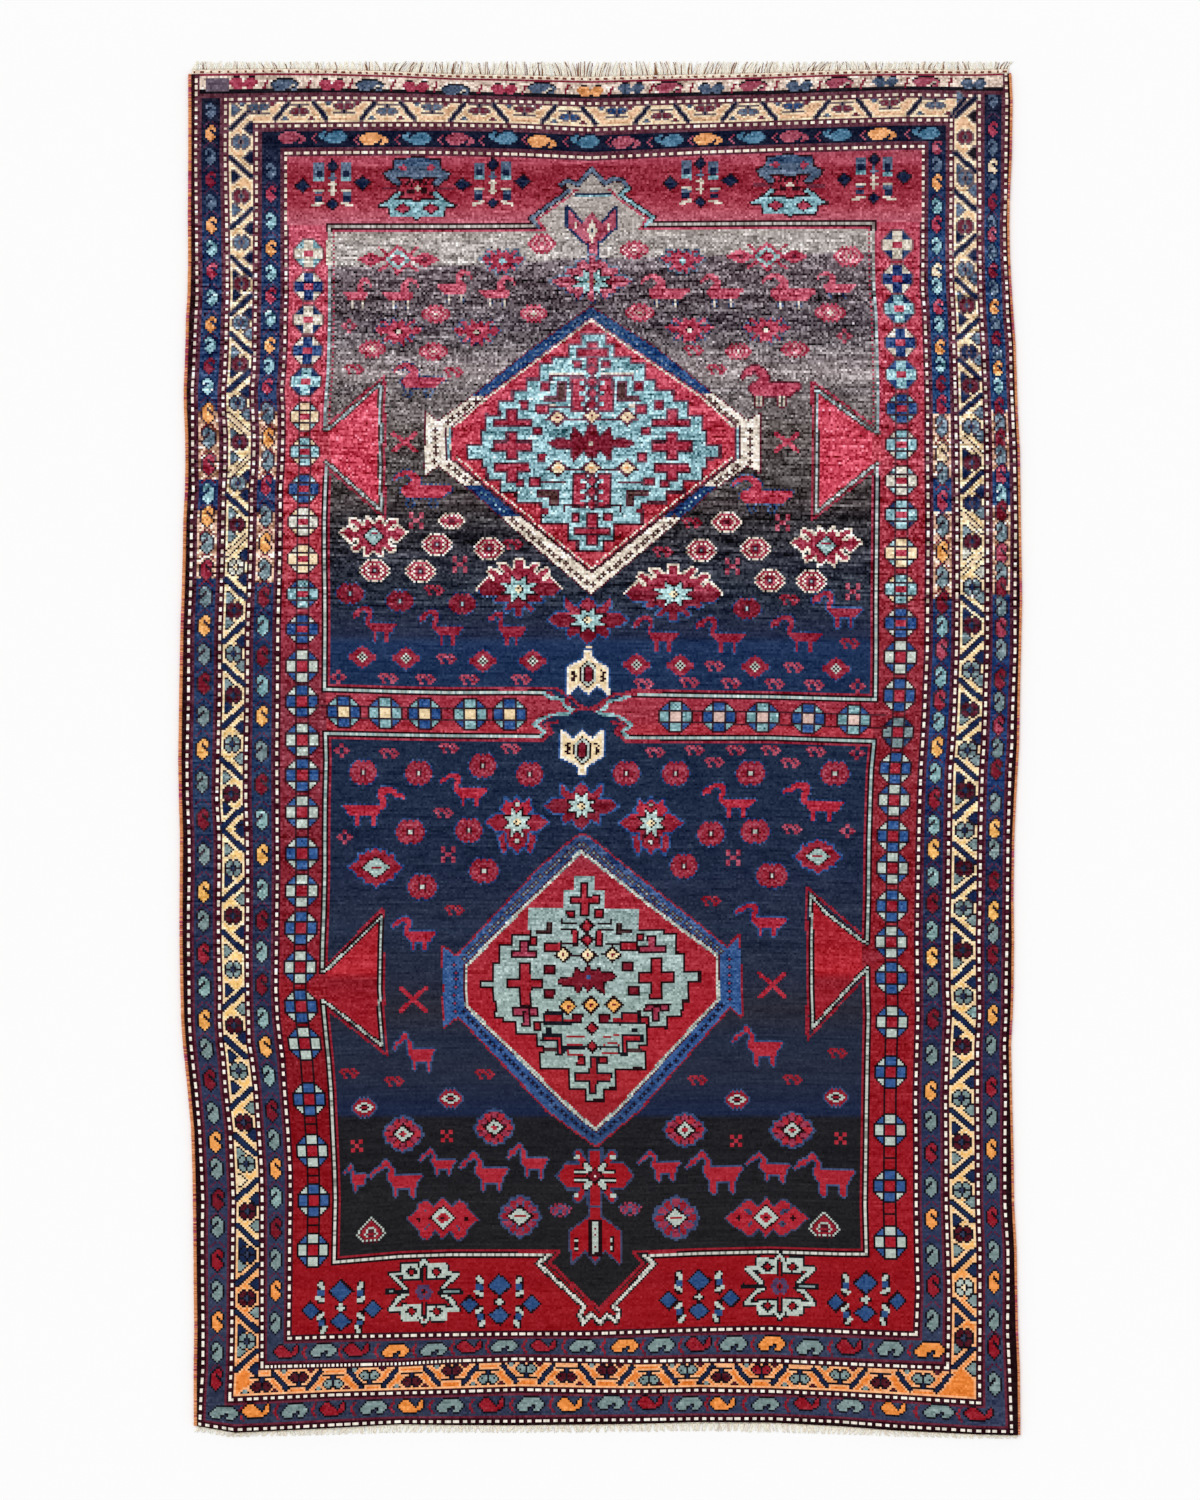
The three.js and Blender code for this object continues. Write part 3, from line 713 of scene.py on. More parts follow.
def upper_medallion():
    outer = [(591, 306.8), (531.6, 349), (471.5, 397), (438, 421.3), (425.3, 412), (425.3, 475.2),
             (438, 465), (471, 490), (516.3, 530), (591, 594), (667, 530), (712, 490), (748, 465),
             (760.5, 472.9), (760.5, 413.2), (748, 421.3), (713, 394), (657, 349)]
    inner = [(591, 319), (550.8, 349), (484.2, 398.5), (452, 427), (452, 459), (486, 487), (539.3, 530),
             (591.6, 572), (645, 530), (700, 487), (735.2, 459), (735.2, 427), (703, 396), (633, 349)]
    stroke("maroon", 2.6, *outer, outer[0])
    polygon("bandblue", *outer)
    fill("ivory", (420, 768, 398, 486), lambda x, y: (y > 397 + (x > 591) * -3) & (y < 485.5)
         & ((x < 486) | (x > 698)) & inside_polygon(outer, x, y))
    fill("ivory", (480, 720, 485, 600), lambda x, y: (y > 516.5) & inside_polygon(outer, x, y))
    stroke("seam", 3.0, *inner, inner[0])
    polygon("medallion", *inner)
    dotted([(591, 313), (541, 349), (478, 397)], "slate", 5.2)
    dotted([(591, 313), (645, 349), (708, 395)], "slate", 5.2)
    brown_dots = (CROSS_DOT, dict(d="brown", p="brown"))
    dotted([(478, 399), (447, 423)], brown_dots, 7)
    dotted([(707, 397), (738, 424)], brown_dots, 7)
    dotted([(435, 426), (435, 466)], brown_dots, 8)
    dotted([(751, 426), (751, 466)], brown_dots, 8)
    dotted([(446, 463), (474, 486)], brown_dots, 7)
    dotted([(741, 464), (712, 487)], brown_dots, 7)
    dotted([(480, 490), (505, 513)], "turquoise", 5)
    dotted([(705, 490), (680, 513)], "turquoise", 5)
    dotted([(509, 517), (591, 586)], brown_dots, 7)
    dotted([(591, 586), (675, 517)], brown_dots, 7)
    stroke("seam", 2.2, (446.4, 428), (446.4, 459))
    stroke("turquoise", 2.4, (449, 429), (449, 458))
    stroke("seam", 2.2, (739.8, 427), (739.8, 458))
    stroke("turquoise", 2.4, (737.8, 428), (737.8, 457))
    stroke("pale", 1.8, (591, 320), (551, 350), (485, 399.5), (453.2, 427.4))
    stroke("pale", 1.8, (591, 320), (632.5, 350), (702, 397.5), (734, 427.4))
    dotted([(455.5, 457), (489, 484), (541, 527), (591.6, 568)], "ivory", 3.4)
    dotted([(591.6, 568), (642, 527), (697, 484), (731.5, 457)], "ivory", 3.4)
    stroke("seam", 2.0, (454, 460), (487, 487), (540, 530), (591.6, 571.5), (643, 530), (699, 487),
           (733, 460))

    steps = ("335:345:582.7:604.3 345:358.5:569.9:612.5 358.5:365:553:629 365:380.2:540.6:643.6"
             " 380.2:391.5:527.8:655 391.5:402:513.8:671.7 402:416:500.4:687 416:431.3:487:701.6"
             " 431.3:448:481.9:706 446:457.5:469:718.9 457.5:467:483.8:705.5 467:479.5:488.3:701"
             " 479.5:491:501.7:683 491:501.4:517:665.9 501.4:523:541.8:641 523:540:569.3:613"
             " 540:549.8:578.8:601.8")
    stepped("seam", steps, 2.4)
    stepped("turquoise", steps)
    m = UPPER_MIDDLE_X
    # Arms of the crosses and the bars that run out from the middle
    cross = "redknot"
    outlined_block(cross, 588.2, 596.6, 343, 366, "seam")
    outlined_block(cross, 578.5, 606.5, 350, 356, "seam")
    mirrored_blocks(m, """
        seam      572.8:582.4:359.4:369 540:550:381.4:390.8 519.4:529.4:400.4:410 533:543:426:436
        seam      537:546.4:453:462 515:524:479:488 571:580.6:512.4:521.8
        redknot   574.8:580.4:361.2:367 542:548:383.2:389 521.4:527.4:402.2:408 535:541:428:434
        redknot   539:544.4:455:460.4 517:522:481:486 573:578.6:514.2:520
        pale      549.5:584:372.6:374.8
        seam      549.5:584:374.8:376.6 549.5:552:376:381.5
        seam      570:586:376.6:412
        redknot   572.4:583.8:378:411
        turquoise 580:584.6:381:385.6 580:584.6:391:395.6 580:584.6:401:405.6""")
    for y in (370, 382, 393.5, 404.5):
        outlined_lozenge(cross, m, y, 4.4, 4.4, "seam")
    mirrored_blocks(m, """
        seam    556.4:566.6:381:402 543.6:566.6:395:402
        brown   558.4:564.6:383:400 545.7:564.6:397:400
        seam    535.8:549:404.6:414.6
        redknot 537.8:547:406.6:412.6
        pale    549:556:404.6:407
        seam    549:575:407:409""")
    stroke("seam", 2.2, (546, 418.7), (638, 418.7))
    for x, y in ((557.4, 417.8), (591.8, 416), (627, 417)):
        outlined_lozenge("cream", x, y, 7.4, 5.8, "seam")
        block_at("darkred", x, y, 1.4, 1.2)
    mirrored_blocks(m, """
        seam    506:517.6:409:420 492.6:533:418:427
        redknot 508.4:515.4:411:420 494.6:531:420:425
        seam    506:518:430.6:460.6 492:533:440.4:452
        redknot 508.4:515.6:433:458 494.2:531:442.8:449.6
        seam    494:530:463:472.6 506.4:517.4:470:482.4
        redknot 496:528:465.2:470.6 508.6:515.4:470:480.2""")
    # The star with pointed arms in the middle
    star = [(549, 443), (557, 439.5), (571, 440.5), (574, 428), (584, 439), (588.5, 427), (591.6, 424.5),
            (595, 427), (599, 439), (609.5, 428.5), (611.5, 440.5), (625, 439.5), (633, 443), (625, 447),
            (611.5, 446.5), (609.5, 459.5), (599, 448.5), (595, 457), (588.5, 457), (584, 448.5),
            (573.5, 459.5), (571, 447), (557, 447.4)]
    stroke("seam", 3.6, *star, star[0])
    polygon("darkred", *star)
    lozenge("pale", 591.6, 443.5, 3.2, 3.2)
    stroke("seam", 2.2, (546, 469.5), (638, 469.5))
    for x, y in ((557.8, 468.3), (591.6, 468), (627, 468)):
        outlined_lozenge("cream", x, y, 7.6, 6.2, "seam")
        block_at("orange", x, y, 2.2, 1.2)
    mirrored_blocks(m, """
        seam      572:586.8:473:509
        redknot   574.4:585:475:507
        turquoise 580.6:586:480:484 580.6:586:489.6:493.6 580.6:586:499:503""")
    for y in (480.5, 492, 504):
        outlined_lozenge(cross, m, y, 4.2, 4.2, "seam")
    mirrored_blocks(m, """
        seam    529:541.6:477.6:486.6 541:566:482:484
        redknot 531:539.6:479.4:484.6
        seam    536:558.6:489.4:497 549.6:558.6:495:506.6
        brown   538:556.6:491.2:495 551.6:556.6:495:504.6
        seam    563:579:505:507 563:565.4:507:512
        darkred 541:548:508:513.4""")
    outlined_block(cross, 588.4, 596, 514, 543, "seam")
    outlined_block(cross, 576, 608, 529, 534, "seam")


# Small figures of the lower medallion
SMALL_SQUARES = places_of("""
    x     y
    571   914
    599.4 914
    533.5 941.5
    640.4 937.5
    537.4 1026
    645   1020.5
    581.4 1061
    602.7 1060.5
""")
WIDE_SQUARES = places_of("""
    x     y
    549.5 968.7
    549.5 993.5
    627.9 965.7
    633.8 990
    577.6 1019
    604.3 1018.4
""")
SMALL_LOZENGES = places_of("""
    x     y      half
    586.8 926    5
    587.1 940    4.5
    592.2 1028   4.4
    592.2 1046.5 4
""")
STANDING_TEES = places_of("""
    x     y   left  right base
    524   942 512.5 534.8 954
    651.9 937 639.8 664   949.5
""")
CROSSES = places_of("""
    left  right top   bottom bar_left bar_right bar_top bar_bottom
    521.2 530   964.8 1003.8 508.7    541.2     979.8   986.8
    651.4 660.8 959.7 997.7  639.8    672.7     973.6   980.8
""")
CREAM_LOZENGES = places_of("""
    x     y
    563.5 954.6
    587.8 955.3
    612.6 954.6
""")
ORANGE_LOZENGES = places_of("""
    x     y
    568   1006.3
    591   1005
    613.9 1005
""")
HANGING_TEES = places_of("""
    x     y      left  right foot
    526   1011.8 514.4 536.7 1024
    656.4 1007.6 646   668.5 1020
""")


def lower_medallion():
    outer = [(575, 838), (582, 834.8), (590, 838), (630, 870.5), (692.7, 920), (727, 948), (739.3, 935.5),
             (741.3, 1015.7), (730.5, 1006), (639, 1110), (596, 1146), (547, 1110), (458.5, 1016),
             (443.9, 1026.7), (443.2, 946.8), (456.5, 957), (490.8, 920), (540, 868)]
    inner = [(581, 851.3), (630, 889.6), (669, 920), (716.5, 954.5), (718.2, 999), (620, 1107),
             (595.6, 1129.3), (572.4, 1110), (466.6, 1006), (466.2, 966), (511.2, 920)]
    stroke("crimson", 3.4, *outer, outer[0])
    polygon("blueband", *outer)
    slate_dots = (CROSS_DOT, dict(d="brown", p="slate"))
    rose_dots = (CROSS_DOT, dict(d="vinenavy", p="rose"))
    dark_dots = (CROSS_DOT, dict(d="vinenavy", p="dark"))
    dotted([(581, 843), (630, 880), (681, 920), (722, 951)], slate_dots, 6.2)
    dotted([(581, 843), (540, 878), (500, 921), (461, 961)], slate_dots, 6.2)
    dotted([(455, 960), (455, 1014)], rose_dots, 8)
    dotted([(729.5, 956), (729.5, 1003)], rose_dots, 8)
    dotted([(461, 1010), (508, 1059), (560, 1110), (596, 1138)], dark_dots, 6.6)
    dotted([(725, 1003), (680, 1055), (630, 1109), (596, 1138)], dark_dots, 6.6)
    stroke("maroon", 5.4, *inner, inner[0])
    polygon("lowmedallion", *inner)
    stroke("paleline", 3.2, *inner, inner[0])

    upper_steps = "876.9:890.2:573.7:595.4 890.2:908:564.2:605 908:930.5:527.8:639"
    steps = ("930.5:941:531:662.7"
             " 935.5:946.4:512.5:675.5 946.4:954:501:675.5 954:963.8:501:683 963.8:981.5:494.6:683"
             " 973:980.5:494.6:698.4"
             " 981.5:987:482.5:687 987:1000:494.6:687 1000:1008.5:496.6:681 1008.5:1016:496.6:679.3"
             " 1014:1020:504.8:666.6 1020:1026.5:517.6:666.6 1026:1032.4:517.6:645.5 1032:1045:538:645.5"
             " 1045:1056:545:638.5 1053:1067.6:541.2:644.2 1067:1087.5:570.5:615.2 1087:1099.4:587:603")
    stepped("dark", steps, 2.2)
    stepped("lowturquoise", steps)
    stepped("lowturquoise", upper_steps)
    cross = "redknot"
    outlined_block(cross, 582, 587, 884, 915)
    outlined_block(cross, 571, 599, 897.3, 902.2)
    block(cross, 582, 587, 884, 915)
    for x, y in SMALL_SQUARES:
        outlined_block(cross, x - 2.8, x + 2.8, y - 2.6, y + 2.6)
    for x, y in WIDE_SQUARES:
        outlined_block("darkred", x - 3.4, x + 3.4, y - 3, y + 3)
    for x, y, half in SMALL_LOZENGES:
        outlined_lozenge(cross, x, y, half, half)
    mirrored_blocks(587, """
        dark    561:577:922.2:924 561:577:928:930 571.6:578.4:930:946 561:563:918:924
        redknot 573.2:576.8:930:944.6""")
    mirrored_blocks(590.8, """
        dark    543.4:563:941.4:951.6 552:577:942.4:944.4
        redknot 545.2:561:943.4:949.8""")
    mirrored_blocks(584, """
        dark  546.4:551.6:922:934.6 535.6:551.6:929.6:934
        brown 547.8:550.4:923:933 537.4:549:930.8:932.8""")
    for x, y, left, right, base in STANDING_TEES:
        outlined_block("rose", x - 2.6, x + 2.6, y, base)
        outlined_block("rose", left, right, base - 2.4, base + 2.4)
        bar("rose", x, 2.6, y, base)
    for left, right, top, bottom, bar_left, bar_right, bar_top, bar_bottom in CROSSES:
        outlined_block(cross, left, right, top, bottom)
        outlined_block(cross, bar_left, bar_right, bar_top, bar_bottom)
        block(cross, left, right, top, bottom)
    for side in (-1, 1):
        x = 593
        stroke("dark", 4.4, (x + side * 46, 1012), (x + side * 46, 1021), (x + side * 22, 1021))
        stroke(cross, 2.6, (x + side * 44, 1013), (x + side * 44, 1020), (x + side * 20, 1020))
        stroke("brown", 3.4, (x + side * 47, 1050), (x + side * 32, 1050), (x + side * 32, 1037),
               (x + side * 47, 1037))
        for y in (1036, 1044, 1054):
            stroke(cross, 2.0, (x + side * 10, y), (x + side * 25, y))
        stroke(cross, 2.0, (x + side * 25, 1044), (x + side * 25, 1054))
    stroke("dark", 2.0, (556, 955), (620, 955))
    for x, y in CREAM_LOZENGES:
        outlined_lozenge("cream", x, y, 6.4, 5.8)
        lozenge("darkred", x, y, 2.4, 2.4)
    star = [(558.4, 982), (562, 978.5), (573.8, 977.4), (575.8, 967.6), (583.6, 974), (588.6, 965.6),
            (592, 972.6), (599, 968.4), (601.8, 974), (612, 973.2), (616, 976.5), (612, 980), (602.8, 981.2),
            (604.6, 994.4), (594, 985.4), (588, 991), (584, 985), (577.2, 992.4), (574, 984.6), (563, 984.6)]
    stroke("dark", 3.2, *star, star[0])
    polygon("darkred", *star)
    lozenge("blue", 588, 977.3, 3.0, 3.0)
    for x, y in ORANGE_LOZENGES:
        outlined_lozenge("orange", x, y, 6.6, 6.6)
        lozenge("darkred", x, y, 2.2, 2.2)
    for x, y, left, right, foot in HANGING_TEES:
        outlined_block("rose", left, right, y - 2.2, y + 2.2)
        outlined_block("rose", x - 2.2, x + 2.2, y, foot)
    mirrored_blocks(591.5, """
        black   543:563:1012:1025 563:577:1022:1024.4
        redknot 546:561:1014.6:1022
        black   545:551:1027.6:1032.8""")
    mirrored_blocks(592, """
        black        541:563:1034:1042 556:563:1038:1055.6
        lowmedallion 544:561:1036.4:1039.4 558:561:1038:1053
        black        563.5:585:1046.4:1049 563.5:566:1049:1054""")
    outlined_block(cross, 591, 595.6, 1058, 1092, "black")
    outlined_block(cross, 576, 609.6, 1074.6, 1079.6, "black")
    block(cross, 591, 595.6, 1058, 1092)


field_grounds()
side_triangles()
gable()
middle_band()
bottom_point()
upper_medallion()
lower_medallion()


# Red border: eight-sided wheels with a link between one and the next
LEFT_WHEEL_COLUMN = 56
RIGHT_WHEEL_COLUMN = 344
MIDDLE_ROW = 300
LINED_WHEELS_FROM = 400
TALL_WHEELS_FROM = 640
CROSSED_LINKS_FROM = 1090


def wheel(row, col, arms, corners, up, lined, centre="wheelred"):
    """A wheel of four arms and four corners round a small square."""
    across = 7
    i, j = np.meshgrid(np.arange(-across, across + 1), np.arange(-up, up + 1))
    wide, high = abs(i), abs(j)
    reach = wide + high
    limit = across + up - 4
    inside = reach <= limit
    letters = np.full(i.shape, ".", "<U1")
    letters[inside] = "c"
    letters[inside & (wide < 3)] = "a"
    letters[inside & (high < 3)] = "a"
    letters[(wide <= 2) & (high <= 1 + (up > 6))] = "m"
    if lined:
        letters[inside & ((wide == 3) | (high == 3))] = "e"
    place(letters, row, col, dict(e="line", c=corners, a=arms, m=centre), "rim")


LEFT_WHEELS = """
    254 pale turquoise; 287.6 wheelblue pale; 318.9 pale navy; 350.8 wheelblue pale; 381.4 turquoise navy;
    415.8 cream turquoise; 451 turquoise cream; 488.3 wheelblue turquoise; 522.7 pale cream;
    558.4 cream pale; 593.5 turquoise wheelblue; 629.2 wheelblue pale; 665.3 pale wheelblue;
    702.3 wheelblue pale; 739.9 pale wheelblue; 775.6 wheelblue pale; 813.3 pale wheelblue;
    854 wheelblue pale; 891.5 pale wheelblue; 928.4 wheelblue pale; 968 pale wheelblue;
    1007.5 wheelblue pale; 1043 pale wheelblue; 1099 wheelblue pale; 1151 pale wheelblue;
    1200.3 wheelblue pale; 1251 pale wheelblue"""
RIGHT_WHEELS = """
    245 pale navy; 279.5 wheelblue pale; 309.3 turquoise navy; 341.8 wheelblue pale;
    375 turquoise wheelblue; 409 wheelblue turquoise; 444 turquoise pale; 480 pale turquoise;
    515 turquoise navy; 553 cream turquoise; 590 turquoise cream; 623.8 wheelblue pale;
    657 pale wheelblue; 694.5 wheelblue pale; 731.5 slate navy; 767.4 wheelblue pale; 801 pale wheelblue;
    836.7 wheelblue pale; 868.6 pale wheelblue; 905.6 wheelblue pale; 941.9 pale wheelblue;
    978.9 wheelblue pale; 1021.6 pale wheelblue; 1072.6 wheelblue pale; 1129.6 pale wheelblue;
    1185.7 wheelblue pale; 1242.6 pale wheelblue"""


def side_wheels(text, middle_column):
    wheels = entries(text)
    for (y, _), (next_y, _) in zip(wheels, wheels[1:]):
        row = knot_at(corner_x[MIDDLE_ROW, middle_column], y)[0]
        next_row = knot_at(corner_x[MIDDLE_ROW, middle_column], next_y)[0]
        for side in (-3, 3):
            paint((slice(row, next_row), middle_column + side), "link")
        if y > CROSSED_LINKS_FROM:
            paint(((row + next_row) // 2, slice(middle_column - 2, middle_column + 3)), "dark")
    for y, (arms, corners) in wheels:
        row = int(np.abs(knot_y[:, middle_column] - y).argmin())
        wheel(row, middle_column, arms, corners, 6 if y < TALL_WHEELS_FROM else 7, y > LINED_WHEELS_FROM)


side_wheels(LEFT_WHEELS, LEFT_WHEEL_COLUMN)
side_wheels(RIGHT_WHEELS, RIGHT_WHEEL_COLUMN)

MIDDLE_WHEELS = "344.4 b; 384.3 t; 425.4 b; 469.8 t; 508.7 b; 675.9 t; 719.7 b; 762.9 t; 808.5 b; 853 t"


def middle_wheels():
    for y_shift in (-6.2, 6.2):
        stroke("link", 1.6, (316, 712 + y_shift), (508, 715 + y_shift))
        stroke("link", 1.6, (676, 716 + y_shift), (886, 722 + y_shift))
    for x, (kind,) in entries(MIDDLE_WHEELS):
        y = np.interp(x, [344, 508, 676, 853], [712.5, 715, 716, 719.5])
        arms, corners = ("wheelblue", "turquoise") if kind == "b" else ("turquoise", "wheelblue")
        wheel(*knot_at(x, y), arms, corners, 7, True, "wheelpink" if x > 600 else "cream")


middle_wheels()


# Small charts
BOTEH = motif("""
    ..##.
    .####
    ##.##
    ##..#
    ###..
    ####.
    #####
    #####
    .###.
    ..#..
""")
DASHES = both_sides(motif("""
    ..#.
    .#..
    #...
"""))
RAISED_BOTEH = motif("""
    ..###......#.
    .#####....##.
    #######...##.
    ########.###.
    .##########..
    ..#######....
""")
HOOKED_BOTEH = motif("""
    ...########..
    ..##########.
    .############
    #######..####
    #####....###.
    .####...###..
""")
LYING_BOTEH = motif("""
    ...######.....
    .##########...
    #############.
    ##########.###
    .########..###
    ..#####...##..
""")
BEAN = motif("""
    ..kkk....kkk.
    .#####..####.
    ######.######
    #############
    .###########.
    ..####..###..
""")
DOME = motif("""
    ...kkkkkkkk...
    .kk########kk.
    k############k
    ##########ww##
    .########wkk#.
    ..#####..k###.
""")
CHEVRON = motif("""
    ..#
    .#.
    #..
    .#.
    ..#
""")
FLOWER = both_sides(motif("""
    .##.
    ###k
    ##kc
    ##kc
    ###k
    .##.
"""))
TALL_FLOWER = motif("""
    .##.##.
    ###k###
    ##kck##
    kkcckkk
    ##kck##
    ###k###
    .##.##.
""")
FAN = both_sides(motif("""
    ..kkk.
    .k##kk
    k####k
    k#k##k
    .k###k
    ..kkkn
    ....kn
    kkkkkn
"""))
TOOTH = motif("""
    ...kk
    ..k##
    .k###
    k####
    .k###
    ..k##
    ...kk
""")
SMALL_TOOTH = motif("""
    k##k
    .##.
""")
SLENDER = motif("""
    ......#####................
    ....########...............
    ..####...###...............
    .####.....##...............
    .#.......###...............
    .........##................
    .........##................
    .........##################
    ..........################.
    ...........##############..
    ............############...
    .............##.....##.....
    .............##.....##.....
    .............##.....##.....
    .............##.....##.....
""")
TWICE_RINGED = all_round(motif("""
    ....w.ww
    ...w####
    ..w##w#w
    .w##w###
    w##w##kk
    .w##w#ke
"""))
RINGED = all_round(motif("""
    ....#.#.
    ...#####
    ..##o#o#
    .##o##i#
    ##o##i#e
    #o##i#ee
"""))
SWAN = motif("""
    ....#####..................
    ..#########................
    .####..#####...............
    ##......#####..............
    #........####..............
    ........#####..............
    .......######..............
    .....######################
    ....#######################
    ....#####################..
    .....###################...
    ......#################....
    .......lml.......lml.......
    .......lml.......lml.......
    .......lml.......lml.......
    .......lml.......lml.......
""")
EYE = all_round(motif("""
    ....b.b
    ...b#b#
    ..b####
    .b###ww
    b##wwkk
    b#wwk##
"""))
DOTTED_EYE = both_sides(motif("""
    .......w
    ......wm
    .....wm#
    ....wm##
    ...wm###
    ..wm##ww
    .wm##wmm
    wm##wm##
    .wm##wmm
    ..wm####
    ...wmwmw
    ....m.m.
"""))
SPECKLED_OVAL = motif("""
    ...r.r.b...
    .b.rrbrr.b.
    brrbrrbrrbr
    .rbrrbrrbr.
    ..rrb.rrb..
    ...b.r.b...
""")
FIVE_SMALL_DOTS = motif("""
    ##..##
    ##..##
    ..##..
    ..##..
    ##..##
    ##..##
""")
GOAT = motif("""
    .......##..................
    ......####.................
    ....###..##................
    ..###.....##...............
    .##.......##...............
    #........###...............
    .........##################
    .........#################.
    ..........###############..
    ...........#############...
    ............############...
    ............ll.......ll....
    ............ll.......ll....
    ............ll.......ll....
    .............l........l....
""")
ROSETTE = both_sides(motif("""
    ...##.#
    ..#####
    .##m##m
    .###m##
    ##m##k#
    #m###kw
    ##m#kww
    #m###kw
    ##m##k#
    .###m##
    .##m##m
    ..#####
    ....##.
"""))
EYED = all_round(motif("""
    ......#
    ....###
    ...####
    ..####w
    #####wk
    ####wkw
"""))
ESS = motif("""
    .####.##..
    ##.###.##.
    #...##..##
    .##..##.##
    ..#...###.
    ..##..##..
""")
FOUR_DOTS = motif("""
    ...##...
    ...##...
    .##..##.
    ###..###
    .##..##.
    ...##...
    ...##...
""")
FIVE_DOTS = both_sides(motif("""
    .##..
    .##..
    ...##
    ...##
    .##..
    .##..
"""))
FIGURE_WOOLS = dict(slate="slate", orange="orange", red="crimson", dark="darkred", teal="slate",
                    light="turquoise", yellow="orange", grey="slate", pink="rose", cream="cream",
                    rose="rose", blue="blue", maroon="maroon", navy="vinenavy", white="pale")

# Guard borders: curled figures one after another, with their heights on the chart and wools
LEFT_OUTER_FIGURES = """
    111 slate; 134.8 orange; 157 slate; 180 dark; 203 slate; 225.4 orange; 250 light; 273 red;
    299.7 light; 325.3 orange; 347 light; 367.3 dark; 387.8 light; 414 orange; 440 slate; 467 red;
    494 light; 518 orange; 545 slate; 570.5 red; 598 slate; 626 orange; 655 slate; 685 dark; 716.3 slate;
    749.5 yellow; 784 slate; 821 dark; 856 slate; 892.7 yellow; 922.7 slate; 954.6 red; 988.4 light;
    1021 yellow; 1051 grey; 1080.6 dark; 1115 grey; 1143 yellow; 1170.5 grey; 1200.5 dark; 1229 grey;
    1260.4 red; 1293 grey; 1324 orange; 1353 grey; 1381.6 red"""
LEFT_INNER_FIGURES = """
    172.4 slate; 196 red; 222 light; 250 orange; 274 light; 297.8 red; 319.5 light; 345.7 orange;
    367.3 light; 388.4 red; 414 slate; 440 orange; 462.8 slate; 487 red; 517 slate; 544.4 orange;
    570.5 slate; 597.3 dark; 626.7 light; 657.7 dark; 686.4 light; 718.2 orange; 751.4 slate; 785.8 dark;
    821.6 light; 856 yellow; 890.2 light; 922 dark; 953.3 light; 986.5 dark; 1019 light; 1049 yellow;
    1077.4 light; 1112.5 dark; 1141.2 grey; 1169.3 yellow; 1199.2 light; 1229.8 dark; 1261 grey;
    1292.3 yellow; 1323.5 grey"""
RIGHT_INNER_FIGURES = """
    149.5 rose; 166.7 slate; 184.6 orange; 206.9 light; 226.7 red; 246.4 light; 271.7 cream; 288 light;
    308.7 red; 326.5 light; 349 orange; 365 light; 386 dark; 407 red; 427 teal; 455.7 cream; 474 teal;
    501 red; 527 teal; 552 orange; 579 teal; 603 dark; 627 light; 651 pink; 678.7 light; 702 red;
    723 light; 747.6 yellow; 775 light; 800.5 red; 826 light; 851 yellow; 878 light; 904 dark;
    931.6 light; 958 yellow; 988 grey; 1019.6 dark; 1056 grey; 1091.5 yellow; 1121.4 grey; 1154 red;
    1187.8 grey; 1221 yellow; 1256 grey; 1287 red; 1320.8 grey"""
RIGHT_OUTER_FIGURES = """
    101.7 slate; 130 red; 149.5 slate; 168 cream; 184.6 slate; 204 dark; 226 teal; 236 pink; 254 teal;
    272 dark; 289.5 teal; 308 orange; 325 teal; 340 dark; 356 teal; 371 orange; 388 light; 408 dark;
    424.7 slate; 440.7 dark; 458 slate; 476 pink; 494.6 light; 512.5 dark; 533 teal; 554.6 pink;
    573.7 slate; 590 dark; 608.8 teal; 630.5 pink; 650 teal; 680.6 dark; 704 slate; 726.5 pink; 750 grey;
    770 dark; 805 slate; 830 orange; 851 slate; 882 dark; 912.5 yellow; 934 slate; 957 dark; 985 slate;
    1017 yellow; 1046 grey; 1088 red; 1118 grey; 1151 yellow; 1185 grey; 1218 red; 1252 grey; 1284 orange;
    1321 grey; 1349.5 red; 1384.6 grey"""
IVORY_BOXES = rows_of("""
    left_column top   bottom
    2           411.4 478.7
    2           509.3 578.7
    30          412   478.7
    30          512.5 583.3
    357         414   477
    357         511   599
    385         409   472
    385         506   594
""")


DASH_GAP = 21
LARGE_BOTEHS_FROM = 400
DARK_OUTLINES_FROM = 560


def row_of(y, col):
    """The row of knots at a height of the chart, in one column."""
    return int(np.abs(knot_y[:, int(col)] - y).argmin())


def in_ivory_box(col, y):
    return any(abs(box.left_column + 7 - col) < 2 and box.top < y < box.bottom for box in IVORY_BOXES)


def side_figures(text, col):
    figures = entries(text)
    for (y, _), (next_y, _) in zip(figures, figures[1:]):
        if next_y - y > DASH_GAP:
            dash_wool = "darkred" if in_ivory_box(col, y) else "dash"
            place(DASHES, row_of((y + next_y) / 2, col), col, {"#": dash_wool})
    for y, (kind,) in figures:
        letters = BOTEH
        if y < LARGE_BOTEHS_FROM:
            letters = sized(BOTEH, 5, 8)
        if kind in ("slate", "teal", "light", "grey", "blue"):
            letters = letters[:, ::-1]
        outline = "line" if in_ivory_box(col, y) or y > DARK_OUTLINES_FROM else "vinenavy"
        place(letters, row_of(y, col), col, {"#": FIGURE_WOOLS[kind]}, outline)


def guard_borders():
    for box in IVORY_BOXES:
        first = int(box.left_column)
        between = (knot_column > first + 2) & (knot_column < first + 12)
        paint(between & (knot_y > box.top) & (knot_y < box.bottom), "ivorybox")
    side_figures(LEFT_OUTER_FIGURES, (RINGS[0].left + RINGS[1].left) // 2)
    side_figures(LEFT_INNER_FIGURES, (RINGS[2].left + RINGS[3].left) // 2)
    side_figures(RIGHT_INNER_FIGURES, (RINGS[2].right + RINGS[3].right) // 2)
    side_figures(RIGHT_OUTER_FIGURES, (RINGS[0].right + RINGS[1].right) // 2)


guard_borders()

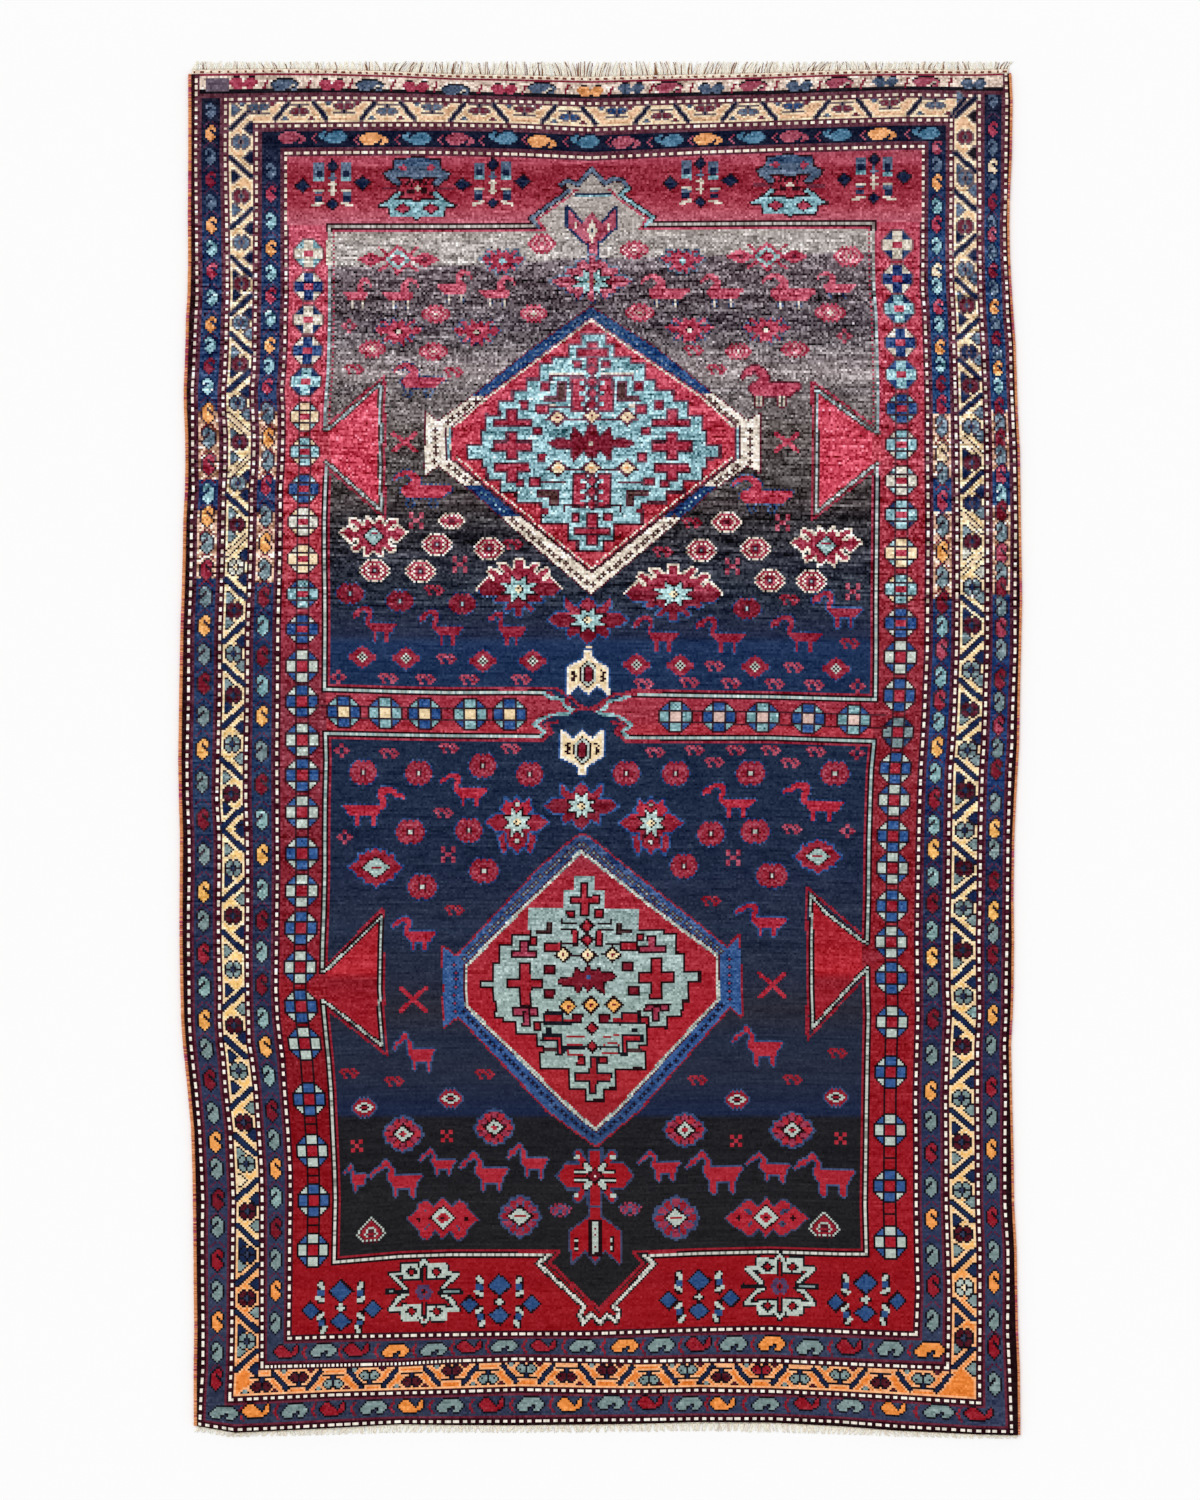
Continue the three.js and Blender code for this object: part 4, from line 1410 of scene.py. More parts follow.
TOP_OUTER_FIGURES = """
    244 red 84; 287 slate 84; 331 red 84; 371 slate 85.5; 415 red 87; 456 slate 90; 504 red 90; 544 slate 89;
    590 orange 91; 632 slate 89; 671 rose 88.5; 712 slate 88; 754 rose 85.6; 799 slate 85.6; 840 rose 83.4;
    885.5 slate 82.3; 928 rose 82.3; 973 slate 83.4"""
TOP_INNER_FIGURES = """
    293 rose 139; 334 blue 139; 375 orange 139.5; 418 blue 139.5; 460 rose 140; 503 blue 140;
    543 orange 141.7; 586 blue 142.6; 628 rose 142.6; 670 blue 141; 710 orange 139; 752 blue 137.6;
    795 rose 136.5; 839 blue 135.4; 883 orange 134.4; 928 blue 133.3"""
BOTTOM_INNER_FIGURES = """
    286 red 1353; 323 grey 1352; 358 red 1351.5; 395 orange 1351; 434 grey 1350; 471 red 1347;
    504 grey 1346.5; 545 red 1346.5; 583 grey 1347; 624 orange 1347; 661 grey 1347; 700 red 1345;
    734 grey 1344; 772 orange 1345; 809.5 grey 1348; 851 red 1348; 891 grey 1350; 929 orange 1352"""
BOTTOM_OUTER_FIGURES = """
    224 grey 1414; 257.5 orange 1412.5; 295 grey 1411; 332.5 red 1410; 373 grey 1408; 412 orange 1407;
    450 grey 1406.6; 493 red 1405.5; 531 grey 1404.7; 571.5 orange 1404.5; 610 grey 1404; 651 red 1404;
    690 grey 1403.8; 724 orange 1404; 765 grey 1404.5; 808.5 red 1405; 851 grey 1407; 894 orange 1410.5;
    939 grey 1413; 980 red 1416"""


def end_figures():
    top_rows = (knot_column > 3) & (knot_column < 398)
    paint(top_rows & (knot_row == 0), "darkred")
    paint(top_rows & (knot_row >= 1) & (knot_row <= 6), "topivory")
    paint(top_rows & (knot_row >= 7) & (knot_row <= 8), "black")
    paint(top_rows & (knot_row >= 9) & (knot_row <= 10), "guard")
    corner = (knot_x > 205) & (knot_x < 230) & (knot_row >= 2) & (knot_row <= 7) & (knot_column > 4)
    paint(corner, "dusty")
    paint((knot_column > 32) & (knot_column < 369) & (knot_row > 26) & (knot_row < 35), "topnavy")
    for text, letters in ((TOP_OUTER_FIGURES, BEAN), (TOP_INNER_FIGURES, LYING_BOTEH)):
        figures = entries(text)
        for (x, (kind, y)), (next_x, _) in zip(figures, figures[1:]):
            middle = (x + next_x) / 2
            if letters is BEAN:
                stroke("darkred", 2.6, (middle - 1.6, float(y) + 3.5), (middle + 1.6, float(y) - 4))
            else:
                stamp(CHEVRON, middle + 1, float(y), {"#": "rose"})
        for x, (kind, y) in figures:
            wool = FIGURE_WOOLS[kind] if kind != "blue" else "guardblue"
            upset = letters is LYING_BOTEH and kind == "blue"
            domed = letters is BEAN and (kind == "slate") == (x < 620)
            drawn = DOME if domed else letters
            stamp(drawn, x, float(y), {"#": wool, "k": "black", "w": "pale"},
                  "topnavy" if letters is LYING_BOTEH else None, upset=upset, flip=upset)
    for text in (BOTTOM_INNER_FIGURES, BOTTOM_OUTER_FIGURES):
        figures = entries(text)
        for (x, (kind, y)), (next_x, (_, next_y)) in zip(figures, figures[1:]):
            bend = (x + next_x) / 2
            height = (float(y) + float(next_y)) / 2
            stroke("guard", 2.6, (bend + 2, height - 7), (bend - 2, height), (bend + 2, height + 7))
            stroke("crimson", 1.8, (bend + 1, height - 5), (bend - 2, height), (bend + 1, height + 5))
        for x, (kind, y) in figures:
            raised = kind == "red" or (kind == "orange" and float(y) > 1380)
            letters = RAISED_BOTEH if raised else HOOKED_BOTEH
            stamp(letters, x, float(y), {"#": FIGURE_WOOLS[kind]}, "line", width=27, height=12.6)


end_figures()

# Yellow border: flowers, slanted bars between them, and teeth along both sides
LEFT_FLOWERS = """
    143.8 grey; 196.7 maroon; 243.9 grey; 285 maroon; 323.3 grey; 364 maroon; 405 grey; 444 maroon;
    485 slate; 525.3 maroon; 567.3 white; 609.4 maroon; 653 grey; 695.3 maroon; 743.8 grey; 793.5 maroon;
    867.9 grey; 915.7 maroon; 968.6 grey; 1024.7 maroon; 1071 grey; 1122 maroon; 1164.8 grey;
    1211.4 maroon; 1254 navy; 1299.3 maroon; 1341.4 grey"""
LEFT_BARS = """
    119 rise grey navy; 166.7 fall navy navy; 218.4 rise grey navy; 266.6 fall navy navy;
    304.8 rise navy navy; 343 fall grey grey; 381.4 rise navy navy; 424.7 fall grey grey;
    466.6 rise grey navy; 504.8 fall navy grey; 545 rise grey navy; 588.4 fall navy grey;
    632.4 rise grey navy; 674.9 fall grey grey; 717.6 rise navy navy; 768.6 fall grey grey;
    817.7 rise navy navy; 840 fall navy grey; 890.8 rise navy grey; 941.2 fall navy grey;
    998.6 rise navy grey; 1048 fall navy navy; 1097.8 rise navy grey; 1145 fall navy grey;
    1189 rise cream navy; 1235 fall grey navy; 1274.4 rise grey navy; 1321 fall grey navy;
    1360 rise grey navy"""
RIGHT_FLOWERS = """
    137.4 maroon; 178.8 grey; 227.9 maroon; 271 grey; 306 maroon; 353 navy; 387 maroon; 427 grey;
    464 maroon; 503.6 navy; 543 maroon; 586.5 grey; 626 maroon; 671 grey; 709.3 maroon; 750.8 grey;
    789.7 maroon; 829.8 grey; 869 maroon; 908.7 grey; 950.8 maroon; 996.7 grey; 1047 maroon; 1098.5 grey;
    1143 maroon; 1191 grey; 1234.3 maroon; 1287 white; 1337 maroon"""
RIGHT_BARS = """
    106.8 rise grey black; 162.2 fall black grey; 200.5 fall grey grey; 245.2 rise navy navy;
    288.3 fall grey grey; 329 rise navy grey; 369.3 fall grey navy; 404.3 rise navy grey;
    446.4 fall grey navy; 481.9 rise navy navy; 522.7 fall grey grey; 563.5 rise white white;
    606.3 fall grey navy; 648 rise grey navy; 689.5 fall grey navy; 729 rise grey navy;
    769.3 fall grey navy; 808 rise grey navy; 853 fall grey navy; 887.6 rise grey navy;
    929 fall grey navy; 972.4 rise grey navy; 1022 fall light navy; 1072.3 rise grey navy;
    1119.5 fall grey navy; 1167 rise grey navy; 1211.4 fall grey navy; 1260.4 rise grey navy;
    1310.2 fall grey navy; 1358 rise grey grey"""
CREAM_BARS = (424.7, 466.6, 545, 446.4, 522.7, 563.5)
TALL_FLOWERS_FROM = 560


def vine_side(flowers, bars, first_col, last_col):
    middle = (first_col + last_col) // 2
    for y, (lean, upper, lower) in entries(bars):
        x = knot_x[row_of(y, middle), middle]
        way = 1 if lean == "fall" else -1
        ends = ((x - 10.2 * way, y - 9.4), (x + 10.2 * way, y + 9.4))
        stroke("line", 6.2, *ends)
        stroke("cream" if y in CREAM_BARS else "vinenavy", 3.6, *ends)
        for kind, side, height in ((upper, way, y - 9.4), (lower, -way, y + 9.4)):
            wools = {"#": FIGURE_WOOLS.get(kind, kind), "k": "line"}
            if side > 0:
                place(TOOTH, row_of(height, middle), last_col - 4, wools)
            else:
                place(TOOTH[:, ::-1], row_of(height, middle), first_col + 5, wools)
    for y, (kind,) in entries(flowers):
        wools = {"#": FIGURE_WOOLS[kind], "k": "line", "c": "cream" if kind == "white" else "navy"}
        place(FLOWER if y < TALL_FLOWERS_FROM else TALL_FLOWER, row_of(y, middle), middle, wools, "line")


vine_side(LEFT_FLOWERS, LEFT_BARS, RINGS[1].left, RINGS[2].left)
vine_side(RIGHT_FLOWERS, RIGHT_BARS, RINGS[2].right, RINGS[1].right)

TOP_FANS = """
    258 grey 109; 300 maroon 111.4; 344 maroon 109; 387 grey 111.4; 433 grey 109.6; 479 maroon 111;
    524 maroon 111; 570.6 blue 116; 616 blue 113; 662 maroon 115; 705.6 maroon 111; 749 slate 111.6;
    794 blue 108; 842 maroon 109; 889 maroon 105; 936 slate 105"""
TOP_BARS = """
    281.6 rise; 320 fall; 368 rise; 407.5 fall; 457.7 rise; 500 fall; 549 rise; 589 fall; 642 rise;
    681.5 fall; 729 rise; 769 fall; 822.6 rise; 864 fall; 915 rise; 958 rise"""
BOTTOM_FANS = """
    261 maroon 1385; 298 maroon 1381; 333 grey 1383; 370 grey 1378; 411 maroon 1380; 452 maroon 1373;
    489 grey 1378; 526 grey 1372; 566 maroon 1377; 607 maroon 1373; 648 grey 1379; 687 grey 1373;
    722 maroon 1377; 762 red 1372.5; 800 grey 1379; 840 grey 1377; 881 maroon 1382; 923 grey 1382"""
BOTTOM_BARS = """
    280 fall; 314 rise; 355 fall; 390 rise; 432 fall; 470 rise; 509.5 fall; 546 rise; 587 fall; 626 rise;
    670 fall; 706 rise; 743 fall; 779 rise; 820 fall; 858 rise; 904 fall; 943 rise"""


def vine_ends():
    for fans, bars, top_ring, bottom_ring, tall in ((TOP_FANS, TOP_BARS, RINGS[1].top, RINGS[2].top, 13),
                                                    (BOTTOM_FANS, BOTTOM_BARS, RINGS[2].bottom,
                                                     RINGS[1].bottom, 16)):
        middle = (top_ring + bottom_ring) // 2
        for x, (lean,) in entries(bars):
            column_here = int(np.abs(knot_x[middle] - x).argmin())
            y = knot_y[middle, column_here]
            way = 1 if lean == "fall" else -1
            ends = ((x - 6.6 * way, y - 8), (x + 6.6 * way, y + 8))
            stroke("line", 5.6, *ends)
            stroke("vinenavy", 3.2, *ends)
        for number, (x, (kind, y)) in enumerate(entries(fans)):
            upset = number % 2 == (1 if fans is TOP_FANS else 0)
            wools = {"#": FIGURE_WOOLS[kind], "k": "line", "n": "vinenavy"}
            stamp(FAN, x, float(y), wools, width=22.6, height=tall, upset=upset)
            column_here = int(np.abs(knot_x[middle] - x).argmin())
            foot = bottom_ring - 3 if upset else top_ring + 3
            for away, wool in ((-7, "slate"), (7, "maroon")):
                letters = SMALL_TOOTH[::-1] if upset else SMALL_TOOTH
                place(letters, foot, column_here + away, {"#": wool, "k": "line"})


vine_ends()


def pale_edges():
    """The gold of the wide border turns pale in the knots beside each figure."""
    numbers = [WOOL_NAMES.index(name) for name in ("yellow", "palegold", "ivory")]
    figure = ~np.isin(chart, numbers)
    beside = np.zeros(figure.shape, bool)
    beside[1:] |= figure[:-1]
    beside[:-1] |= figure[1:]
    beside[:, 1:] |= figure[:, :-1]
    beside[:, :-1] |= figure[:, 1:]
    paint(beside & (chart == numbers[0]), "palegold")


pale_edges()


# Field figures
def star_points(x, y, half_width, half_height, waist=0.56):
    turns = np.arange(16) * np.pi / 8 + np.pi / 8
    reach = np.where(np.arange(16) % 2, waist, 1.08)
    return [(x + half_width * r * np.cos(t), y + half_height * r * np.sin(t)) for r, t in zip(reach, turns)]


HOOKED_STAR = ((0, -12), (7, -19.5), (10.5, -9.5), (16, -16), (23, -18), (24.5, -14), (19, -12.5),
               (15.5, -7), (19.5, -4.5), (25.5, -10), (33.5, -3.8), (23, 6.2), (19, 1), (14, 4.5), (17, 10),
               (21.5, 11.5), (20, 15.5), (16, 15), (10, 8.5), (7.8, 20.5), (0, 14.6))


CROWN = ((0, -28.5), (3.6, -28.2), (3.8, -20.6), (7, -19.4), (9.5, -20.4), (14.3, -25.2), (19.7, -24.8),
         (13.6, -16.7), (19, -14.4), (22.4, -18.4), (28.5, -20.2), (30.4, -17.6), (23, -10.4), (25, -7),
         (30, -12), (41.4, -0.5), (34.5, 7.2), (20, 6.8), (25, 11.2), (22, 13.8), (14.4, 11.8), (9.5, 13.8),
         (14.4, 20), (12, 22.8), (6, 17.6), (3.6, 18.6), (3.4, 26.2), (0, 26.5))
STEPPED_CROWN = ((0, -26), (3, -26), (3, -18), (7, -22), (14, -20), (15, -14), (24, -14), (25, -8), (20, -6),
                 (30, -5.6), (39, -0.5), (30, 5), (22, 5), (25, 10), (17, 11), (13, 18), (9, 12), (3, 12),
                 (2.6, 19), (0, 19))
TALL_LEAVES = ((0, -25), (4, -19), (8, -20), (12, -24), (13, -17), (16, -13), (11, -8), (20, -8.4),
               (31.5, 0), (20, 8.6), (11, 9), (18, 14), (17, 24), (13, 31), (8, 24), (4, 26), (0, 31))
LONG_LEAVES = ((0, -23), (6, -18), (8, -12), (14, -15), (20, -22), (21, -14), (16, -7), (28, -7), (36, 0),
               (28, 6.5), (16, 7), (19, 12), (17, 18), (9, 13), (6, 18), (0, 24))


TOOTHED_STAR = ((0, -20), (5, -16), (9, -17), (12, -12), (17, -13), (18, -7), (27, 0), (19, 6), (18, 11),
                (12, 11), (10, 16), (5, 15), (0, 20))


def leaf_flower(x, y, half, half_width, upper_rim, lower_rim, star_wide, star_high, wool="crimson",
                low_wool="darkred"):
    """A flower from the right half of its outline, with a leaf to each side and a star in it."""
    wide = half_width / max(point[0] for point in half)
    right = [(x + a * wide, y + b) for a, b in half]
    left = [(x - a * wide, y + b) for a, b in half]
    tip = max(range(len(half)), key=lambda place: half[place][0])
    for side in (left, right):
        stroke(lower_rim, 3.8, *side[tip:])
    for side in (left, right):
        stroke(upper_rim, 4.0, *side[:tip + 1])
    outline = right + left[::-1]
    polygon(wool, *outline)
    box = (x - half_width, x + half_width, y + 8, y + 34)
    fill(low_wool, box, lambda xs, ys: inside_polygon(outline, xs, ys))
    star = star_points(x, y, star_wide, star_high)
    stroke("dark", 2.8, *star, star[0])
    polygon("starblue", *star)
    lozenges(x, y, "dark 5.2 5.2; cream 4.0 4.0")
    block_at("dark", x, y, 1.1, 1.1)


def star_figure(x, y, half, half_width, half_height, wool, rim, rim_width):
    """A star from the right half of its outline, drawn on both sides of its middle line."""
    wide = half_width / max(point[0] for point in half)
    high = half_height / max(abs(point[1]) for point in half)
    outline = [(x + a * wide, y + b * high) for a, b in half]
    outline += [(x - a * wide, y + b * high) for a, b in half[-2:0:-1]]
    stroke(rim, rim_width, *outline, outline[0])
    polygon(wool, *outline)


def round_flower(x0, y0, half_width, half_height, eye_wide, eye_high, filled=False, dusty=False):
    """Twelve petals round a pale eye, each second one of another wool."""
    def turned(x, y):
        across, down = (x - x0) / half_width, (y - y0) / half_height
        return np.arctan2(down, across), np.maximum(np.hypot(across, down) * 0.97,
                                                    (abs(across) + abs(down)) * 0.76)

    def petals(size):
        def test(x, y):
            angle, reach = turned(x, y)
            return reach < size + 0.05 * np.cos(12 * angle)
        return test

    def second(x, y):
        angle, reach = turned(x, y)
        return (reach < 0.84) & (np.cos(6 * angle) < 0)

    def gaps(x, y):
        angle, reach = turned(x, y)
        return (abs(np.sin(6 * angle)) > 0.95) & (reach < 0.84)

    box = (x0 - half_width, x0 + half_width, y0 - half_height, y0 + half_height)
    fill("faintblue", box, petals(0.99))
    fill("crimson" if dusty else "birdred", box, petals(0.84))
    fill("rose", box, second)
    fill("faintblue" if dusty else "maroon", box, gaps)
    lozenge("dark", x0, y0, eye_wide + 3, eye_high + 3)
    lozenge("pale", x0, y0, eye_wide, eye_high)
    if filled:
        bar("lowred", x0, 5.5, y0 - 1, y0 + 1.2)
    else:
        lozenge("dark", x0, y0, eye_wide - 4.4, eye_high - 4.4)
        lozenge("birdred", x0, y0, eye_wide - 5, eye_high - 5)


def dotted_rosette(x, y, half_width, half_height, rim, eye):
    """A figure of crimson rings parted by rings of single pale knots."""
    stamp(RINGED, x, y, {"#": "crimson", "o": rim, "i": rim, "e": eye}, width=2 * half_width,
          height=2 * half_height)


def eye_diamond(x, y, letters, width, height):
    stamp(letters, x, y, {"#": "crimson", "b": "faintblue", "m": "maroon", "w": "pale", "k": "dark"},
          width=width, height=height)


BIRDS = rows_of("""
    left  right top   feet  faces_right
    343   372   277   308   1
    383   420   277   308   1
    437   471   271   304   1
    479   517   276   307   1
    642   692   275.5 309   0
    699   743   275   308   0
    763   817   274   308   0
    817   857   272   298   0
    394   445   364   397   0
    743   801   366   405   0
    395   452   471   507   0
    732   792   475   511   0
    352.7 398.6 607   643   0
    419.7 464   609   645   0
    485   525   614   647   0
    632.8 680   616   651   0
    694   745   617   651   0
    771   824.4 616   651   0
    811.7 862.7 592   628   0
    342.5 405.6 787   826   1
    438.5 488.3 775   808   0
    699.7 755   783   817   0
    780   843.6 783   821.5 0
    391   436.3 919   951   0
    395.4 437.5 1033  1073  0
    733.5 787   904   937.6 0
    731   782   1026  1067  0
    343.5 366.5 1164  1191  0
    370.6 423.5 1159  1198  0
    419.7 456.7 1150  1179  0
    460.8 510   1152  1193  0
    509.3 549.5 1143  1178  0
    637.9 680.6 1151  1181  0
    685.7 743   1151  1194  0
    746.3 791.6 1151  1182  0
    794.5 855.7 1153  1196  0
""")
DOTTED_ROSETTES = rows_of("""
    x     y     half_width half_height
    436.9 545.3 15.5       11.5
    373.8 570.8 15.5       11.5
    419.7 572   15.5       11.5
    488.3 547.9 15.5       11.5
    452   521.8 13         8.5
    726.9 523   15.3       9.8
    701   549.8 15.5       11.5
    755.2 547.9 15.5       11.5
    770.5 581   15.5       11.5
    810.4 580.4 15.5       11.5
""")
FADED_ROSETTES = rows_of("""
    x     y     half_width half_height
    543.8 245   12.8       9.5
    636   250.8 13.4       8.5
    849.3 258.4 14         9
    437.5 313.3 13.4       7.9
    534.2 312.6 12         7.9
    641   312.6 13.4       7.9
    829.5 313.3 14         7.9
    371.8 348.6 11.5       8.3
    435   352   12.8       7.9
    737.3 351.5 12         7
    796   351.5 13         7.4
    349.5 594.4 12.5       9.6
    400.5 602   12.5       9.6
    462.8 605.5 12.5       9.6
    747.6 609.7 12.5       9.6
""")
ROSETTES = rows_of("""
    x     y     half_width half_height
    363.5 773   14         12.5
    418   773.3 14.5       12.5
    483.4 767.8 14.5       12.5
    530.4 774.8 14         12.5
    626.4 774.8 14         12.5
    675.5 775.5 14         12.5
    750.7 774.2 15         12.5
    835.9 774.8 15.5       12.5
    411.4 832.9 15.5       12.5
    467.9 831.2 14.5       12.5
    711.2 835.4 14.5       12.5
    757   833.5 15.5       12.5
    424.1 887   15.5       12.5
    485.7 872.4 15         12.5
    683   867.3 14.5       12.5
    771.4 876.3 16         12.5
""")
EYED_LOZENGES = rows_of("""
    x     y
    361.6 657.6
    406.9 658.8
    481.9 660
    532.9 660.7
    636   665.8
    680   665.8
    755.8 666.5
    836.6 669
""")
ESSES = rows_of("""
    x     y
    448.4 660
    389.7 678
    426.7 678.6
    470.4 679
    521.4 678.6
    716.3 667
    793.5 667
    644.9 683.7
    689.5 683
    732.2 683.7
    776.3 684.3
    815.5 685.6
    391   753.8
    450.3 748.3
    511.9 749.3
    655.5 752
    695.9 750.6
    737.3 750
    772.4 750.4
    714.4 761.5
    791.6 763
    817.4 752
    444.5 813.8
    793.5 828.4
    456.5 910
    712.5 900.5
    350.8 1073.3
    396   1081
    486.4 1074.5
    699   1080.3
    793.5 1079
    839   1054
""")
FOUR_DOT_PLACES = "340 676.8; 858.2 687; 342.9 750; 857.6 753; 346.3 837.3; 848.7 831; 350.2 325.4; 846 337"
FIVE_DOT_PLACES = """
    448.4 856.5; 733.5 859.7; 356.9 1146; 447 1137; 738 1141.7; 840.8 1139.5; 459 566.4; 731.6 568.3;
    853 592.5; 416.5 520.5; 782.6 523.7"""
SALTIRES = "404.4 442; 787 442; 413.3 999.3; 772.4 985.3"
FAINT_PAIRS = """
    356 369; 454.7 372.5; 694.6 350; 718 370; 694 523; 435 590; 514.4 543.4; 664.6 551; 789.6 600;
    851 643.5"""

# Stars, hooked figures and flowers of the field
UPPER_STARS = places_of("""
    x     y
    398   331.8
    476.8 332.4
    689.5 329.8
    766   329.8
""")
TOOTHED_STARS = places_of("""
    x     y     half_width half_height
    375.9 867.3 27         19.5
    818   856.5 24         17
""")
IVORY_STARS = places_of("""
    x     y     half_width half_height
    373.6 536.1 33.5       20.5
    826.4 546   35         20
""")
TOP_STARS = places_of("""
    x     y
    502.3 261
    682.5 261
""")
WINGED_LOZENGES = places_of("""
    x   y
    398 259.5
    767 256.5
""")
EYES = places_of("""
    x     y
    364.2 1107.6
    450.9 1098
    737.3 1100
    836.5 1096.5
""")
ROUND_FLOWERS = places_of("""
    x     y      half_width half_height
    403   1134   20         18
    494.4 1127.4 20         18
    684.8 1130   21         17
    792.2 1130   22         18
""")
WINGED_EYES = places_of("""
    x     y      left right top  bottom
    442.6 1218   408  477.4 1200 1240.5
    766   1217.3 727  806.6 1199 1237
""")
SPECKLED_OVALS = places_of("""
    x     y
    560.3 1211.2
    630.8 1209
""")


# The birds change in kind and wool from the top of the field down
FAINT_BIRDS_TO = 300
SWANS_TO = 590
BLUE_RIMS_TO = 600
SLENDER_BIRDS_TO = 1000
SMALL_FADED_FROM = 590
MAROON_SWAN_TOP = 366


def field_figures():
    for bird in BIRDS:
        faint = bird.top < FAINT_BIRDS_TO
        rim = "figureblue" if bird.top < BLUE_RIMS_TO else "faintblue"
        legs = "figureblue" if bird.top < SWANS_TO else "birdred"
        if bird.top == MAROON_SWAN_TOP:
            rim, legs = "maroon", "pale"
        letters = SWAN if bird.top < SWANS_TO else SLENDER if bird.top < SLENDER_BIRDS_TO else GOAT
        between = "pale" if faint else "field"
        stamp(letters, (bird.left + bird.right) / 2, (bird.top + bird.feet) / 2,
              {"#": "birdred", "l": legs, "m": between},
              None if faint else rim, width=bird.right - bird.left, height=bird.feet - bird.top,
              flip=bool(bird.faces_right))
    for item in FADED_ROSETTES:
        if item.y > SMALL_FADED_FROM:
            stamp(ROSETTE, item.x, item.y, {"#": "darkred", "m": "crimson", "k": "maroon", "w": "turquoise"},
                  "faintblue", width=27, height=21)
            continue
        dotted_rosette(item.x, item.y, item.half_width + 1.5, item.half_height + 1, "ringpink", "pale")
    for item in DOTTED_ROSETTES:
        stamp(TWICE_RINGED, item.x, item.y, {"#": "crimson", "w": "ivory", "k": "maroon", "e": "turquoise"},
              width=2 * item.half_width, height=2 * item.half_height)
    for item in ROSETTES:
        stamp(ROSETTE, item.x, item.y, {"#": "crimson", "m": "dustrose", "k": "maroon", "w": "pale"},
              "faintblue", width=2 * item.half_width - 2, height=2 * item.half_height)
    for item in EYED_LOZENGES:
        stamp(EYED, item.x, item.y, {"#": "crimson", "w": "pale", "k": "dark"}, "faintblue", width=27,
              height=22)
    for item in ESSES:
        stamp(ESS, item.x, item.y, {"#": "rose" if item.y < 900 else "crimson"}, width=20.6, height=10.4)
    for x, (y,) in entries(SALTIRES):
        wide, high = (11, 8.4) if float(y) < 600 else (12.4, 11.4)
        stroke("birdred", 4.2, (x - wide, float(y) - high), (x + wide, float(y) + high))
        stroke("birdred", 4.2, (x + wide, float(y) - high), (x - wide, float(y) + high))
    for text, letters, wide, high in ((FOUR_DOT_PLACES, FOUR_DOTS, 16.5, 15),
                                      (FIVE_DOT_PLACES, FIVE_DOTS, 18.5, 17)):
        for x, (y,) in entries(text):
            if float(y) > 1000 and letters is FIVE_DOTS:
                stamp(FIVE_SMALL_DOTS, x, float(y), {"#": "birdred"})
            else:
                stamp(letters, x, float(y), {"#": "rose"}, width=wide, height=high)
    for x, (y,) in entries(FAINT_PAIRS):
        stamp(ESS, x, float(y), {"#": "crimson"}, width=20.6, height=10.4)
    for x, y in UPPER_STARS:
        star_figure(x, y, HOOKED_STAR, 24, 13.5, "crimson", "figureblue", 2.4)
        lozenges(x, y, "dark 4.6 4; pale 3.2 2.8")
    for x, y, wide, high in TOOTHED_STARS:
        star_figure(x, y, TOOTHED_STAR, wide, high, "crimson", "figureblue", 3.8)
        lozenge("dark", x, y, wide * 0.56, high * 0.6)
        lozenge("light", x, y, wide * 0.5, high * 0.52)
        bar("crimson", x, 5, y - 1.2, y + 1)
    for x, y, wide, high in IVORY_STARS:
        star_figure(x, y, HOOKED_STAR, wide - 1, high - 1, "crimson", "ivory", 4.0)
        lozenge("dark", x, y, wide * 0.33, high * 0.54)
        lozenge("light", x, y, wide * 0.28, high * 0.46)
        bar("crimson", x, 4.5, y - 3, y - 1.4)
    for x, y in TOP_STARS:
        star_figure(x, y, HOOKED_STAR, 22, 12.5, "crimson", "slate", 3.2)
        lozenge("turquoise", x, y, 5, 4)
    for x, y in WINGED_LOZENGES:
        stroke("crimson", 2.4, (x - 19, y - 12), (x - 8, y - 2))
        stroke("crimson", 2.4, (x + 19, y - 12), (x + 8, y - 2))
        stroke("crimson", 3, (x - 19, y + 11), (x - 8, y + 4), (x, y + 14), (x + 8, y + 4), (x + 19, y + 11))
        for side in (-1, 1):
            lozenges(x + side * 27, y, "crimson 15 7.4; maroon 4 2.4")
        lozenge("crimson", x, y - 1, 17, 14)
        lozenges(x, y, "light 13.4 10.6; crimson 8 6")
    leaf_flower(591.6, 281.8, STEPPED_CROWN, 41, "slate", "figureblue", 19, 12, "rose", "rose")
    block("rose", 589, 594.4, 262, 300)
    leaf_flower(518.8, 589, CROWN, 41.5, "ivory", "figureblue", 17.5, 12.5)
    leaf_flower(673.6, 594, CROWN, 48.5, "ivory", "figureblue", 19, 11.5)
    leaf_flower(587.8, 620, LONG_LEAVES, 40, "figureblue", "figureblue", 17, 12)
    leaf_flower(517, 822.3, TALL_LEAVES, 31.5, "figureblue", "figureblue", 13, 14, "birdred", "crimson")
    leaf_flower(581.3, 806, LONG_LEAVES, 36.5, "figureblue", "figureblue", 13, 12.5)
    leaf_flower(651, 823, TALL_LEAVES, 32, "figureblue", "figureblue", 13, 13.5, "birdred", "crimson")
    for x, y in ((517, 822.3), (651, 823)):
        for down in (-18, 19):
            lozenges(x, y + down, "maroon 4.6 4.2; pale 2.8 2.6")
        for side in (-1, 1):
            stroke("maroon", 2, (x + side * 6, y + 9), (x + side * 11, y + 25))
            stroke("figureblue", 2, (x + side * 12, y + 11), (x + side * 9, y + 27))
    for x, y in EYES:
        eye_diamond(x, y, EYE, 27, 22)
    eye_diamond(372, 1230.7, DOTTED_EYE, 31, 27)
    eye_diamond(824.4, 1224.4, DOTTED_EYE, 33, 27)
    for x, y, wide, high in ROUND_FLOWERS:
        round_flower(x, y, wide, high, 9, 7.5)
    round_flower(520, 1216.3, 20.5, 21, 11.5, 8.5, True, True)
    round_flower(675.9, 1218, 23, 21.5, 10, 9, True, True)
